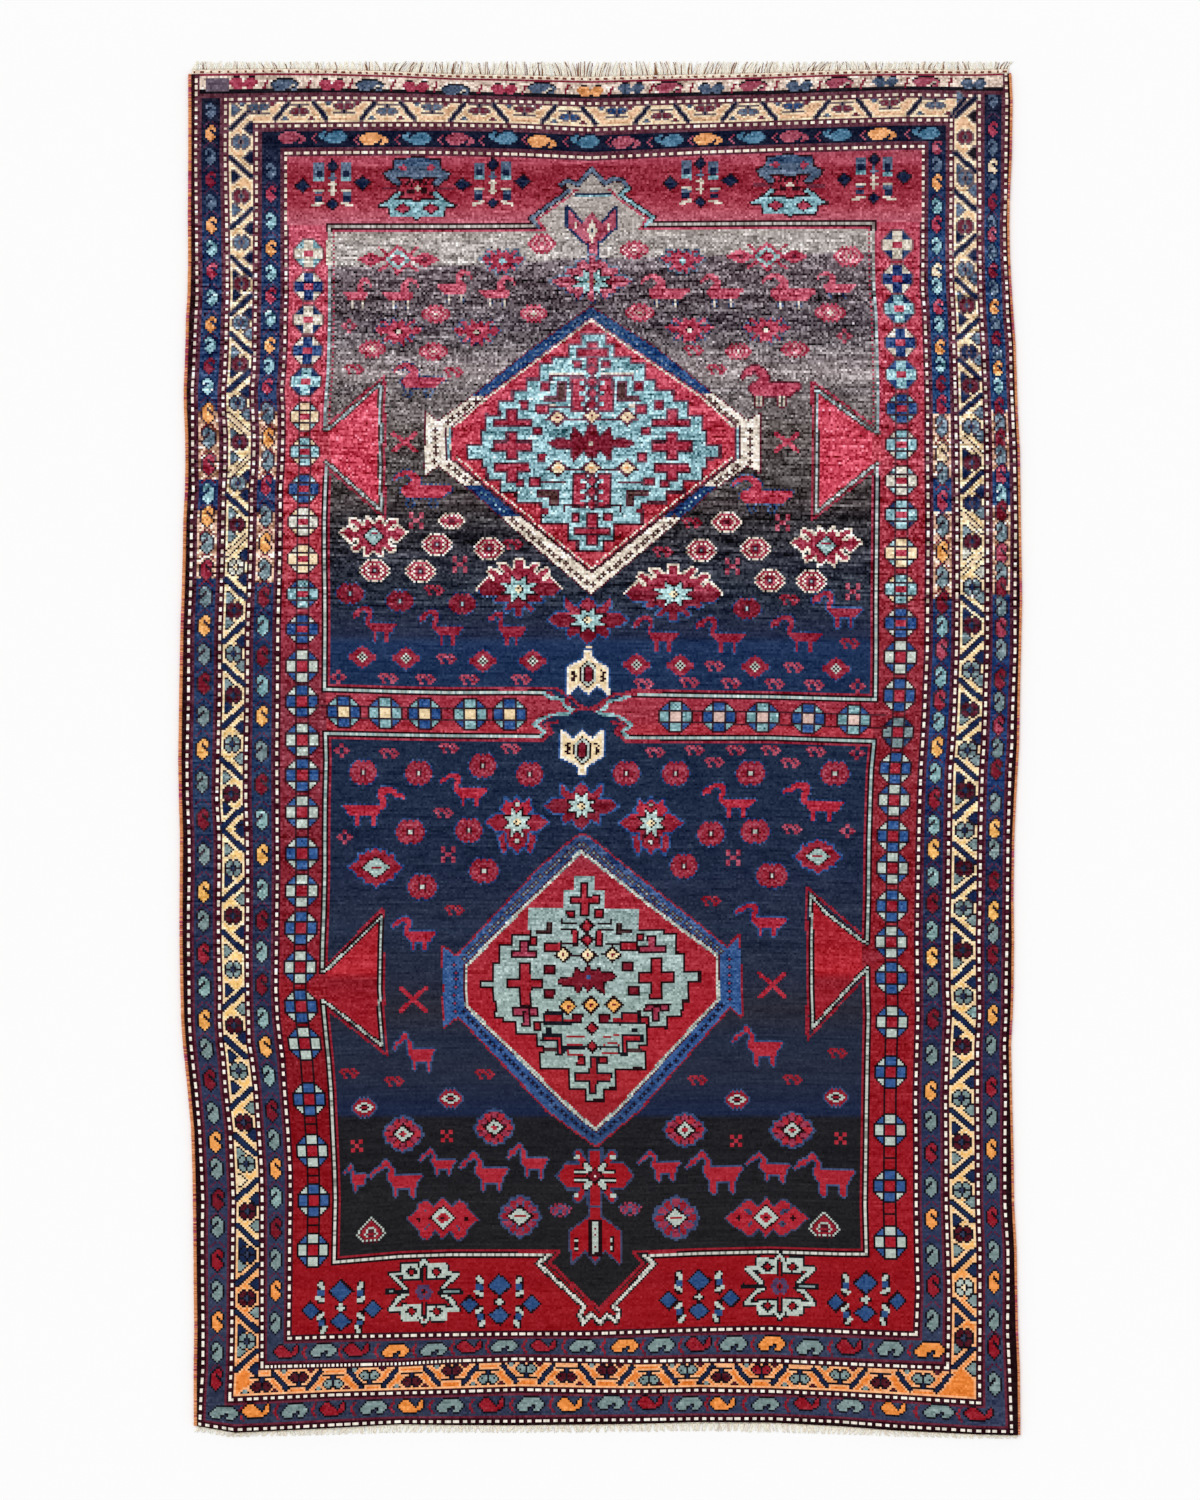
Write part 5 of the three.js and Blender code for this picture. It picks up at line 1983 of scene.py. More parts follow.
    for x, y, left, right, top, bottom in WINGED_EYES:
        for wool, more in (("figureblue", 2.0), ("birdred", 0)):
            lozenge(wool, left + 13, y + 1, 14 + more, 12 + more)
            lozenge(wool, right - 13, y + 1, 14 + more, 12 + more)
            lozenge(wool, x, y, 18 + more, (bottom - top) / 2 + more)
            for side in (-1, 1):
                stroke(wool, 7 + more * 2, (x + side * 8, y - 4), (x + side * 17, top + 5),
                       (x + side * 21, top + 7))
                stroke(wool, 7 + more * 2, (x + side * 8, y + 6), (x + side * 16, bottom - 5),
                       (x + side * 20, bottom - 8))
        for side in (-1, 1):
            lozenge("dark", x + side * (right - left) * 0.34, y + 1, 2.4, 2.4)
        lozenges(x, y, "dark 14 13; pale 11.6 11; birdred 7 6.6; dark 2 2")
    for x, y in SPECKLED_OVALS:
        stamp(SPECKLED_OVAL, x, y, {"r": "rose", "b": "faintblue"}, width=24, height=15)


field_figures()


# The tulips on the middle line
def ivory_tulip(x, y, way):
    """An ivory tulip with a ringed red bar in it. way is -1 where its stem goes up."""
    def at(*pairs):
        return [(x + across, y + way * down) for across, down in pairs]
    shape = at((-20, -21), (-9.5, -12.5), (0, -21), (9.5, -12.5), (20, -21.5), (20, 3), (4, 13), (2.6, 21),
               (-2.6, 21), (-4, 13), (-21, 4))
    stroke("figureblue", 5.6, *shape, shape[0])
    polygon("cream", *shape)
    stroke("ivory", 2.4, *shape, shape[0])
    oval = at((0, -15), (7.5, -8), (7.5, 4), (0, 11), (-7.5, 4), (-7.5, -8))
    stroke("dark", 2.4, *oval, oval[0])
    polygon("pale", *oval)
    oval = at((0, -12), (5.4, -7), (5.4, 3), (0, 8), (-5.4, 3), (-5.4, -7))
    polygon("dark", *oval)
    left, right = x - 3, x + 3
    block("darkred", left, right, y + way * -2.5 - 7, y + way * -2.5 + 7)
    for side in (-1, 1):
        stroke("dark", 2.2,
               *at((side * 13, -9), (side * 16.5, -7), (side * 13, -4), (side * 16.5, -1), (side * 13, 1)))


def cross_tulip(x, y):
    for wool, more in (("figureblue", 2.4), ("lowred", 0)):
        for side in (-1, 1):
            polygon(wool, (x + side * (37 + more * 1.4), y), (x + side * 29, y - 12 - more),
                    (x + side * 16, y - 12 - more), (x, y - 12 - more), (x, y + 12 + more),
                    (x + side * 16, y + 12 + more), (x + side * 28, y + 12 + more))
            for up in (-1, 1):
                stroke(wool, 6 + 2 * more, (x + side * 12, y + up * 14),
                       (x + side * 17, y + up * 22))
        block(wool, 589.5 - more, 600.5 + more, 1150.4 - more, 1205)
    for side in (-1, 1):
        for up in (-1, 1):
            block_at("pale", x + side * 18, y + up * 19.5, 2.2, 2)
            stroke("dark", 7.6, (x + side * 6, y + up * 7),
                   (x + side * 9, y + up * 11))
            stroke("dark", 5.2, (x + side * 9, y + up * 4.4),
                   (x + side * 19, y + up * 4.4))
            stroke("pale", 5.4, (x + side * 6, y + up * 7),
                   (x + side * 9, y + up * 11))
            stroke("pale", 2.4, (x + side * 9, y + up * 4.2),
                   (x + side * 19, y + up * 4.2))
    lozenges(x, y, "dark 8.6 8.6; darkred 6.4 6.4; ivory 1.8 1.8")
    bell = [(589.7, 1207), (600.5, 1207), (600.5, 1217), (620.3, 1231.4), (619.6, 1262.6), (605, 1250),
            (595, 1262), (585.2, 1250), (571.8, 1262.6), (570.5, 1231.4), (589.7, 1217)]
    stroke("figureblue", 4.2, *bell, bell[0])
    polygon("lowred", *bell)
    block("dark", 587.6, 602.4, 1219, 1256)
    block("pale", 591.4, 598.4, 1222, 1253)
    for dot_y in (1229, 1234.5, 1247):
        block("darkred", 594, 596, dot_y - 1.2, dot_y + 1.2)
    for dot_x in (576.3, 612):
        bar("dark", dot_x, 2.2, 1237, 1252)
        bar("pale", dot_x, 1.1, 1239, 1242)
        bar("pale", dot_x, 1.1, 1247, 1250)


block("cream", 585.4, 592.4, 646, 654)
ivory_tulip(588.2, 672, -1)
ivory_tulip(582.4, 752.5, 1)
cross_tulip(595, 1176)


# Figures of the two end panels
def top_cluster(x, y):
    for across, down, wide, high in ((0, -19.5, 5.4, 6), (0, 19, 5.2, 4.8), (-30, 0.5, 7, 6),
                                     (30, -2.5, 7.6, 6.4)):
        lozenge("dark", x + across, y + down, wide + 1.8, high + 1.8)
        lozenge("navy", x + across, y + down, wide, high)
    for side in (-1, 1):
        bar("slate", x + side * 13.6, 5, y - 22, y - 9)
        bar("vinenavy", x + side * 13.4, 3.2, y - 15, y - 8)
        bar("turquoise", x + side * 13.6, 5, y - 8, y - 3.6)
        bar("slate", x + side * 14, 4.6, y + 4.4, y + 9.6)
        stroke("pale", 2.6, (x + side * 10, y + 5.4), (x + side * 18, y + 5))
        bar("navy", x + side * 14, 4, y + 10, y + 16)
        stroke("pale", 3.2, (x + side * 20, y + 20.4), (x + side * 10, y + 17.6))
    for down, wool in ((-8, "slate"), (-1, "pale"), (6, "pale")):
        stroke(wool, 2.2, (x - 3.4, y + down), (x + 3.4, y + down))
        stroke(wool, 2.6, (x, y + down - 3), (x, y + down + 3))


def mirrored_polygon(wool, x, *half, edge=None):
    """A polygon given by its right half, in places from an upright middle line."""
    points = [(x + across, y) for across, y in half] + [(x - across, y) for across, y in half[::-1]]
    if edge:
        stroke(edge, 3.4, *points, points[0])
    polygon(wool, *points)


def top_palmette(x, down):
    def moved(*pairs):
        return [(across, y + down) for across, y in pairs]
    mirrored_polygon("slate", x,
                     *moved((0, 158), (22, 160), (24, 169), (33, 174), (29, 179), (19, 186), (15.4, 184),
                            (21, 177), (9, 177.4), (0, 179)), edge="dark")
    mirrored_polygon("capblue", x, *moved((0, 158), (22, 160), (23, 166), (0, 166)))
    for side in (-1, 1):
        lozenge("crimson", x + side * 14, 168 + down, 5.6, 3.4)
        block("maroon", min(x + side * 16, x + side * 36), max(x + side * 16, x + side * 36), 186.6 + down,
              190.4 + down)
        bar("dark", x + side * 6.5, 3.4, 188.4 + down, 193 + down)
        for step in (4, 9):
            stroke("dark", 2.6, (x + side * step - 1.5, 185 + down), (x + side * step + 1.5, 180.4 + down))
    lozenge("pale", x + 0.5, 188 + down, 3.6, 3.2)
    mirrored_polygon("turquoise", x,
                     *moved((0, 203), (7, 199.4), (24, 200.4), (14, 193.4), (19, 192), (30, 201.6),
                            (38.5, 206), (28, 207.4), (26, 216), (4, 216), (0, 219)), edge="dark")
    for side in (-1, 1):
        lozenges(x + side * 14, 208.4 + down, "dark 9.4 6; crimson 7.6 4.4")


def slanted_bar(x, y, side, low):
    """A short bar of two pale ends and a blue middle, leaning with its place in the cluster."""
    lean = side * 2 if low else 0
    stroke("dark", 8.4, (x + lean * 0.4, y - 8), (x - lean * 0.8, y + 8))
    bar("diamondblue", x, 3.2, y - 2.4, y + 3.2)
    if low:
        stroke("pale", 4, (x - side * 1.6, y - 8), (x + side * 3.4, y - 4))
        stroke("pale", 4, (x - side * 4, y + 4.6), (x - side * 1, y + 9))
    else:
        stroke("pale", 4.6, (x + side * 0.6, y - 8.6), (x - side * 1.6, y - 4.8))
        stroke("pale", 4, (x - side * 2.6, y + 8), (x + side * 3.4, y + 5))


def bottom_cluster(x, y):
    for across, down, wide, high in ((0, -16.5, 11, 10.2), (0, 13.5, 10, 8.2), (-30, 3, 8, 8),
                                     (32, 1.4, 8, 8)):
        lozenge("dark", x + across, y + down, wide + 2.4, high + 2.4)
        lozenge("diamondblue", x + across, y + down, wide, high)
    for side in (-1, 1):
        slanted_bar(x + side * 20, y - 15, side, False)
        slanted_bar(x + side * 19.4, y + 14.6, side, True)
    stroke("dark", 5, (x - 4, y), (x + 4, y))
    stroke("dark", 5, (x, y - 4), (x, y + 4))
    block_at("pale", x, y, 3.6, 1.2)
    block_at("pale", x, y, 1.2, 3.6)


def bottom_palmette(x, down):
    """Two open cups mouth to mouth, with a flower between them and a dark rod to each side."""
    y = 1291.7 + down
    cups = (((3.4, -26), (21.6, -26.6), (21.6, -18), (33, -17.6), (18, -3)),
            ((3.4, 27), (20.6, 27), (21, 17.6), (34, 17.6), (25, 6.6), (17, 2)))
    for side in (-1, 1):
        for rim in cups:
            stroke("black", 6.6, *[(x + side * a, y + b) for a, b in rim])
        for way in (-1, 1):
            block_at("black", x + side * 12, y + way * 20, 11, 8.4)
    for side in (-1, 1):
        for rim in cups:
            stroke("pale", 3.4, *[(x + side * a, y + b) for a, b in rim])
        for way in (-1, 1):
            block_at("pale", x + side * 12.2, y + way * 20, 8.6, 6.6)
            lozenges(x + side * 12.4, y + way * 19.6, "black 6.4 6; lowred 3.8 3.6")
        stroke("black", 5.6, (x + side * 17, y), (x + side * 37, y))
        stroke("slate", 1.2, (x + side * 20, y), (x + side * 35, y))
    for way in (-1, 1):
        stroke("black", 5, (x - 4, y + way * 27), (x, y + way * 33), (x + 4, y + way * 27))
        stroke("pale", 3, (x - 4, y + way * 26), (x, y + way * 31), (x + 4, y + way * 26))
        stroke("black", 4.6, (x, y + way * 11), (x, y + way * 24))
        stroke("lowred", 1.8, (x, y + way * 9), (x, y + way * 23))
    for turn in range(6):
        angle = turn * np.pi / 3
        lozenge("violet", x + 6 * np.cos(angle), y + 5.4 * np.sin(angle), 4, 3.8)
    lozenge("black", x, y, 2.4, 2.4)


TOP_CLUSTERS = places_of("""
    x     y
    332.6 185.2
    492.8 184
    700.4 183
    874   179
""")
BOTTOM_CLUSTERS = places_of("""
    x     y
    340.8 1307.8
    499.4 1302
    698.9 1297.2
    865.6 1299.6
""")

for x, y in TOP_CLUSTERS:
    top_cluster(x, y)
top_palmette(417, 0)
top_palmette(789.6, -3)
for x, y in BOTTOM_CLUSTERS:
    bottom_cluster(x, y)
bottom_palmette(424, 0)
bottom_palmette(780, -5.4)


# How uneven the wool is at each height of the chart: worn and streaky above, clear below
WEAR_HEIGHTS = (60, 226, 262, 300, 450, 520, 600, 640, 700, 900, 1000, 1100, 1230, 1440)
WEAR = (1.3, 1.6, 2.6, 2.6, 2.3, 2.3, 2.0, 1.2, 1.4, 1.3, 1.0, 0.7, 0.6, 0.9)

# The pale upper rows of the field end higher up towards the right
LEAN_PLACES = (330, 500, 560, 870)
LEAN = (0, 2, 8, 15)

# Darker and lighter spots of the field, soft at their edges
FIELD_SPOTS = rows_of("""
    x   y   half_width half_height lighter
    486 275 16         7           -20
    512 283 24         9           -22
    532 306 22         13          -14
    417 394 18         6           -24
    696 316 18         8           -22
    740 322 26         7           -10
    700 291 60         7           8
    790 338 60         9           8
    840 372 30         14          14
    400 345 70         8           -6
    346 408 26         16          -10
    356 500 34         16          12
    470 512 60         8           10
    400 560 60         7           10
    470 590 50         7           12
    700 575 60         6           10
    780 532 70         7           12
    800 585 60         8           8
    720 560 70         7           -6
    690 640 30         6           -8
    440 632 60         5           6
""")


def soft_patches(rows_apart, columns_apart):
    """Soft lighter and darker patches, a few rows high and some columns wide."""
    coarse = random.normal(size=(ROWS // rows_apart + 2, COLUMNS // columns_apart + 2))
    columns = np.arange(COLUMNS) / columns_apart
    rows = np.arange(ROWS) / rows_apart
    across = np.array([np.interp(columns, np.arange(line.size), line) for line in coarse])
    return np.array([np.interp(rows, np.arange(line.size), line) for line in across.T]).T


flecks = (knot_row * knot_row * 3 + knot_column * 5 + knot_row // 9) % 7 < 2
paint((chart == WOOL_NAMES.index("frameline")) & flecks, "framedim")
paint((chart == WOOL_NAMES.index("paleline")) & flecks, "slate")
rim_flecks = (knot_row * 5 + knot_column * 3 + knot_column // 5) % 7 < 3
paint((chart == WOOL_NAMES.index("faintblue")) & rim_flecks & (knot_y < 900), "field")
paint((chart == WOOL_NAMES.index("figureblue")) & rim_flecks & (knot_y < 600), "field")


def wool_colours():
    """Every knot's colour, as sRGB numbers from 0 to 255."""
    colours = np.zeros((ROWS, COLUMNS, 3))
    grain = random.normal(size=(ROWS, COLUMNS))
    streak = random.normal(size=(ROWS, COLUMNS + 5))
    streak = np.lib.stride_tricks.sliding_window_view(streak, 6, axis=1).mean(-1) * 2.4
    long_streak = random.normal(size=(ROWS, COLUMNS + 11))
    long_streak = np.lib.stride_tricks.sliding_window_view(long_streak, 12, axis=1).mean(-1) * 3.4
    row_tone = random.normal(size=(ROWS, 1)) * 0.25
    lean = np.interp(knot_x, LEAN_PLACES, LEAN) * np.interp(knot_y, (280, 330), (1, 0))
    spots = sum(spot.lighter * np.exp(-((knot_x - spot.x) / spot.half_width) ** 2
                                      - ((knot_y - spot.y) / spot.half_height) ** 2) for spot in FIELD_SPOTS)
    patches = soft_patches(3, 14)
    wear = np.interp(knot_y, WEAR_HEIGHTS, WEAR)
    for index, (name, spread, *stops) in enumerate(WOOLS):
        here = chart == index
        if not here.any():
            continue
        spread = int(spread)
        pairs = [stop.split(":") for stop in stops]
        heights = [float(height) for height, _ in pairs]
        tones = np.array([[int(tone[i:i + 2], 16) for i in (0, 2, 4)] for _, tone in pairs])
        place_in_chart = knot_y + lean if name == "field" else knot_y
        base = np.stack([np.interp(place_in_chart[here], heights, tones[:, i]) for i in range(3)], -1)
        change = 0.85 * grain + 0.5 * streak + 0.22 * patches + row_tone
        if name == "field":
            spread = spread * np.interp(knot_y[here], (226, 262, 480, 560, 620), (1.6, 1.7, 1.5, 1.4, 1.0))
            long_part = np.interp(knot_y, (430, 480, 600, 640), (0.35, 0.55, 0.45, 0.12))
            grain_part = np.interp(knot_y, (440, 480, 600, 640), (0.95, 0.7, 0.6, 0.5))
            change = grain_part * grain + long_part * long_streak + 0.35 * streak + 0.15 * patches + row_tone
            base = base + spots[here][:, None]
        colours[here] = base + ((change * wear)[here] * spread)[:, None]
    return np.clip(colours, 4, 252)


def linear(srgb):
    share = srgb / 255
    return np.where(share <= 0.04045, share / 12.92, ((share + 0.055) / 1.055) ** 2.4)


def metres(x, y):
    return (x - MIDDLE_X) * CHART_UNIT, (MIDDLE_Y - y) * CHART_UNIT


def grid_mesh(name, xs, ys, zs, colours, facing_up=True):
    """A mesh of quads over arrays of corners, with a colour for each quad and a flat OFBake map."""
    down, across = xs.shape
    numbers = np.arange(down * across).reshape(down, across)
    quads = np.stack([numbers[:-1, :-1], numbers[1:, :-1], numbers[1:, 1:], numbers[:-1, 1:]],
                     -1).reshape(-1,
                                                                                                           4)
    if not facing_up:
        quads = quads[:, ::-1]
    mesh = bpy.data.meshes.new(name)
    mesh.vertices.add(xs.size)
    mesh.vertices.foreach_set("co", np.stack([xs, ys, zs], -1).astype(np.float32).ravel())
    mesh.loops.add(quads.size)
    mesh.loops.foreach_set("vertex_index", quads.ravel().astype(np.int32))
    mesh.polygons.add(len(quads))
    mesh.polygons.foreach_set("loop_start", np.arange(0, quads.size, 4, dtype=np.int32))
    mesh.polygons.foreach_set("use_smooth", np.ones(len(quads), bool))
    mesh.update(calc_edges=True)
    paint_faces(mesh, np.asarray(colours).reshape(-1, 3))
    uv = mesh.uv_layers.new(name="OFBake")
    pairs = np.stack(np.meshgrid(np.linspace(0, 1, across), np.linspace(1, 0, down)), -1)
    uv.uv.foreach_set("vector", pairs.reshape(-1, 2)[quads.ravel()].astype(np.float32).ravel())
    mesh.validate()
    return mesh


def paint_faces(mesh, colours):
    """Gives each face of a mesh its own linear colour."""
    counts = np.zeros(len(mesh.polygons), np.int32)
    mesh.polygons.foreach_get("loop_total", counts)
    values = np.ones((len(mesh.loops), 4), np.float32)
    values[:, :3] = np.repeat(colours, counts, axis=0)
    layer = mesh.color_attributes.new("wool", "FLOAT_COLOR", "CORNER")
    layer.data.foreach_set("color", values.ravel())


def add_piece(mesh, material, node):
    """Puts a mesh in the scene as a piece that stands for a CAD node."""
    piece = bpy.data.objects.new(mesh.name, mesh)
    bpy.context.collection.objects.link(piece)
    mesh.materials.append(material)
    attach(piece, "root")
    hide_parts(node)
    return piece


def wool_material(name, roughness, ribs_across, bump):
    """Matte wool whose colour is each knot's own, with a fine fibre and a low rib."""
    material = bpy.data.materials.new(name)
    material.use_nodes = True
    nodes, links = material.node_tree.nodes, material.node_tree.links
    shader = nodes["Principled BSDF"]
    shader.inputs["Roughness"].default_value = roughness
    shader.inputs["Specular IOR Level"].default_value = 0.04
    attribute = nodes.new("ShaderNodeAttribute")
    attribute.attribute_name = "wool"
    place_node = nodes.new("ShaderNodeTexCoord")
    fibre = nodes.new("ShaderNodeTexNoise")
    fibre.inputs["Scale"].default_value = 900
    fibre.inputs["Detail"].default_value = 3
    links.new(place_node.outputs["Object"], fibre.inputs["Vector"])
    tint = nodes.new("ShaderNodeMix")
    tint.data_type = "RGBA"
    tint.blend_type = "MULTIPLY"
    tint.inputs[0].default_value = 1
    shade = nodes.new("ShaderNodeMapRange")
    shade.inputs["From Min"].default_value = 0.25
    shade.inputs["From Max"].default_value = 0.75
    shade.inputs["To Min"].default_value = 0.8
    shade.inputs["To Max"].default_value = 1.2
    shade.clamp = False
    links.new(fibre.outputs["Fac"], shade.inputs["Value"])
    links.new(attribute.outputs["Color"], tint.inputs[6])
    links.new(shade.outputs["Result"], tint.inputs[7])
    links.new(tint.outputs[2], shader.inputs["Base Color"])
    height = nodes.new("ShaderNodeBump")
    height.inputs["Strength"].default_value = bump
    height.inputs["Distance"].default_value = 0.0006
    wave = nodes.new("ShaderNodeTexWave")
    wave.bands_direction = "Y"
    wave.inputs["Scale"].default_value = ribs_across
    wave.inputs["Distortion"].default_value = 2
    links.new(place_node.outputs["Object"], wave.inputs["Vector"])
    both = nodes.new("ShaderNodeMath")
    both.operation = "ADD"
    links.new(wave.outputs["Fac"], both.inputs[0])
    links.new(fibre.outputs["Fac"], both.inputs[1])
    links.new(both.outputs["Value"], height.inputs["Height"])
    links.new(height.outputs["Normal"], shader.inputs["Normal"])
    return material


KNOT_ROW_RIBS = 90
pile_wool = wool_material("pile wool", 0.92, KNOT_ROW_RIBS, 0.35)
back_wool = wool_material("back wool", 0.9, KNOT_ROW_RIBS, 0.6)
wound_wool = wool_material("wound wool", 0.85, KNOT_ROW_RIBS, 0.3)
warp_yarn = wool_material("warp yarn", 0.85, KNOT_ROW_RIBS, 0.3)

colours = linear(wool_colours())

# The pile, in four bands of rows that meet knot to knot
BANDS = 4
CORRODED = ("black", "dark", "brown", "guard")
worn = np.isin(chart, [WOOL_NAMES.index(name) for name in CORRODED])
knot_height = np.where(worn, -0.0006, 0.0) + random.normal(size=chart.shape) * 0.00012
padded = np.pad(knot_height, 1, mode="edge")
corner_height = (padded[:-1, :-1] + padded[1:, :-1] + padded[:-1, 1:] + padded[1:, 1:]) / 4
lie = 0.0004 * np.sin(corner_x / 61 + corner_y / 93) + 0.0003 * np.sin(corner_x / 23 - corner_y / 47)
corner_z = PILE_TOP + corner_height + lie
corner_z[1::2] -= 0.00025

for number in range(BANDS):
    first = ROWS * number // BANDS
    last = ROWS * (number + 1) // BANDS
    part = slice(first, last + 1)
    xs, ys = metres(corner_x[part], corner_y[part])
    zs = corner_z[part]
    band_colours = colours[first:last]
    # Beyond its edge knots the cloth's sides go down to the height of its back
    xs = np.hstack([xs[:, :1], xs, xs[:, -1:]])
    ys = np.hstack([ys[:, :1], ys, ys[:, -1:]])
    foot = np.full((len(zs), 1), BACK_HEIGHT)
    zs = np.hstack([foot, zs, foot])
    band_colours = np.concatenate([band_colours[:, :1], band_colours, band_colours[:, -1:]], axis=1)
    for end, is_end in ((0, number == 0), (-1, number == BANDS - 1)):
        if is_end:
            xs, ys, zs, band_colours = [
                np.insert(rows, len(rows) if end else 0, added, axis=0)
                for rows, added in ((xs, xs[end]), (ys, ys[end]), (zs, BACK_HEIGHT),
                                    (band_colours, band_colours[end]))]
    mesh = grid_mesh(f"pile_band_{number + 1}", xs, ys, zs, band_colours)
    add_piece(mesh, pile_wool, "pile_rug")

# The woven back, two knots to a face, as seen from below
KNOTS_TO_A_FACE = 2
row_marks = np.unique(np.append(np.arange(0, ROWS + 1, KNOTS_TO_A_FACE), ROWS))
column_marks = np.unique(np.append(np.arange(0, COLUMNS + 1, KNOTS_TO_A_FACE), COLUMNS))
marks = np.ix_(row_marks, column_marks)
xs, ys = metres(corner_x[marks], corner_y[marks])
zs = np.full(xs.shape, BACK_HEIGHT)
zs[::2] -= 0.0002
back_colours = colours[np.ix_(row_marks[:-1], column_marks[:-1])] * 0.9
back_mesh = grid_mesh("woven_back", xs, ys, zs, back_colours, facing_up=False)
back = add_piece(back_mesh, back_wool, "pile_rug")


def tube_mesh(name, centres, sections, colours):
    """One mesh of open tubes. centres: tubes x rings x 3. sections: tubes x rings x points x 3, offsets."""
    tubes, rings, sides, _ = sections.shape
    points = (centres[:, :, None, :] + sections).reshape(-1, 3)
    numbers = np.arange(tubes * rings * sides).reshape(tubes, rings, sides)
    here, beside = numbers, np.roll(numbers, -1, axis=2)
    quads = np.stack([here[:, :-1], beside[:, :-1], beside[:, 1:], here[:, 1:]], -1).reshape(-1, 4)
    ends = [[*numbers[t, 0][::-1]] for t in range(tubes)] + [[*numbers[t, -1]] for t in range(tubes)]
    mesh = bpy.data.meshes.new(name)
    mesh.from_pydata(points.tolist(), [], quads.tolist() + ends)
    mesh.polygons.foreach_set("use_smooth", np.ones(len(mesh.polygons), bool))
    quad_colours = np.asarray(colours).reshape(-1, 3)
    quad_colours = np.repeat(quad_colours, sides, axis=0)
    end_colours = np.asarray(colours)[:, [0, -1]].transpose(1, 0, 2).reshape(-1, 3)
    paint_faces(mesh, np.vstack([quad_colours, end_colours]))
    mesh.update()
    return mesh


def srgb_of(text):
    return np.array([int(text[i:i + 2], 16) for i in (0, 2, 4)], float)


# Selvedges: wool wound round the side cords, turn by turn
WINDING_PITCH = 0.0031
CORD_HEIGHT = 0.0031
CORD_CLEARANCE = 0.0003
CORD_SIDES = 8
TURN_LEAN = 0.0006
SELVEDGE_ORANGE = "d98c5c"
SELVEDGE_CRIMSON = "b0485e"


def selvedge(name, side, guides, width, node):
    top, bottom = corner_y[0, 0 if side < 0 else -1], corner_y[-1, 0 if side < 0 else -1]
    turns = int((bottom - top) * CHART_UNIT / WINDING_PITCH)
    rings = turns * 2 + 1
    y = np.linspace(top, bottom, rings)
    edge = np.interp(y, column(guides, "y"), column(guides, "edge"))
    swell = np.where(np.arange(rings) % 2, 1.0, 0.84)
    swell = swell * (1 + 0.05 * random.normal(size=rings))
    half = width * 0.5
    x_m, y_m = metres(edge - side * half, y)
    radius = half * CHART_UNIT
    angles = np.linspace(0, 2 * np.pi, CORD_SIDES, endpoint=False)
    centres = np.stack([x_m, y_m, np.full(rings, CORD_HEIGHT + CORD_CLEARANCE)], -1)[None]
    sections = np.zeros((1, rings, CORD_SIDES, 3))
    sections[0, :, :, 0] = np.cos(angles) * radius * swell[:, None] * 1.05
    sections[0, :, :, 1] = np.sin(angles) * TURN_LEAN
    sections[0, :, :, 2] = np.maximum(np.sin(angles) * CORD_HEIGHT * swell[:, None], -CORD_HEIGHT)
    tone = np.empty((rings - 1, 3))
    along = (y[:-1] + y[1:]) / 2
    leaning = 0.7 * np.sin(along / 23 + side) + 0.5 * np.sin(along / 7
                                                             - side) + 0.7 * random.normal(size=rings - 1)
    crimson = leaning > np.where(along < 420, 0.45, 0.95)
    tone[:] = srgb_of(SELVEDGE_ORANGE)
    tone[crimson] = srgb_of(SELVEDGE_CRIMSON)
    tone += random.normal(size=(rings - 1, 1)) * 18
    # Painted shade: the half of each turn from its narrow ring up to its wide one is made a tenth darker, as
    # if that side of every turn lay in shade.
    tone[::2] *= 0.9
    mesh = tube_mesh(name, centres, sections, linear(np.clip(tone, 5, 250))[None])
    return add_piece(mesh, wound_wool, node)


left_selvedge = selvedge("wound_selvedge_left", -1, left_guides, SELVEDGE_LEFT_WIDTH, "selvedge_left")
right_selvedge = selvedge("wound_selvedge_right", 1, right_guides, SELVEDGE_RIGHT_WIDTH, "selvedge_right")


# End strips and warp ends. Widths and pitches are in chart units or knots, heights in metres.
TWINING_ROW = 1.1
STRIP_HEIGHT = 0.0022
WARP_RELIEF = 0.0006
TWINING_RELIEF = 0.0004
STRIP_EDGE_HEIGHT = 0.0004
DOTTED_FROM_WIDTH = 4
DOT_PITCH = 4.02
DOT_SHARE = 0.42
STRIP_WOOL = "f0dec8"
STRIP_EDGE_WOOL = "e6c8b0"
DOT_WOOL = "7c4238"
STRANDS = 1040
STRAND_RINGS = 5
STRAND_SIDES = 4
STRAND_RADIUS = 0.00094
STRAND_HEIGHT = 0.0018
STRAND_DROP = 0.0009
CLUMP = 8
SWAY_SPAN = 24
WARP_WOOL = "fff4e4"
BROWN_WARP_WOOL = "8e6448"


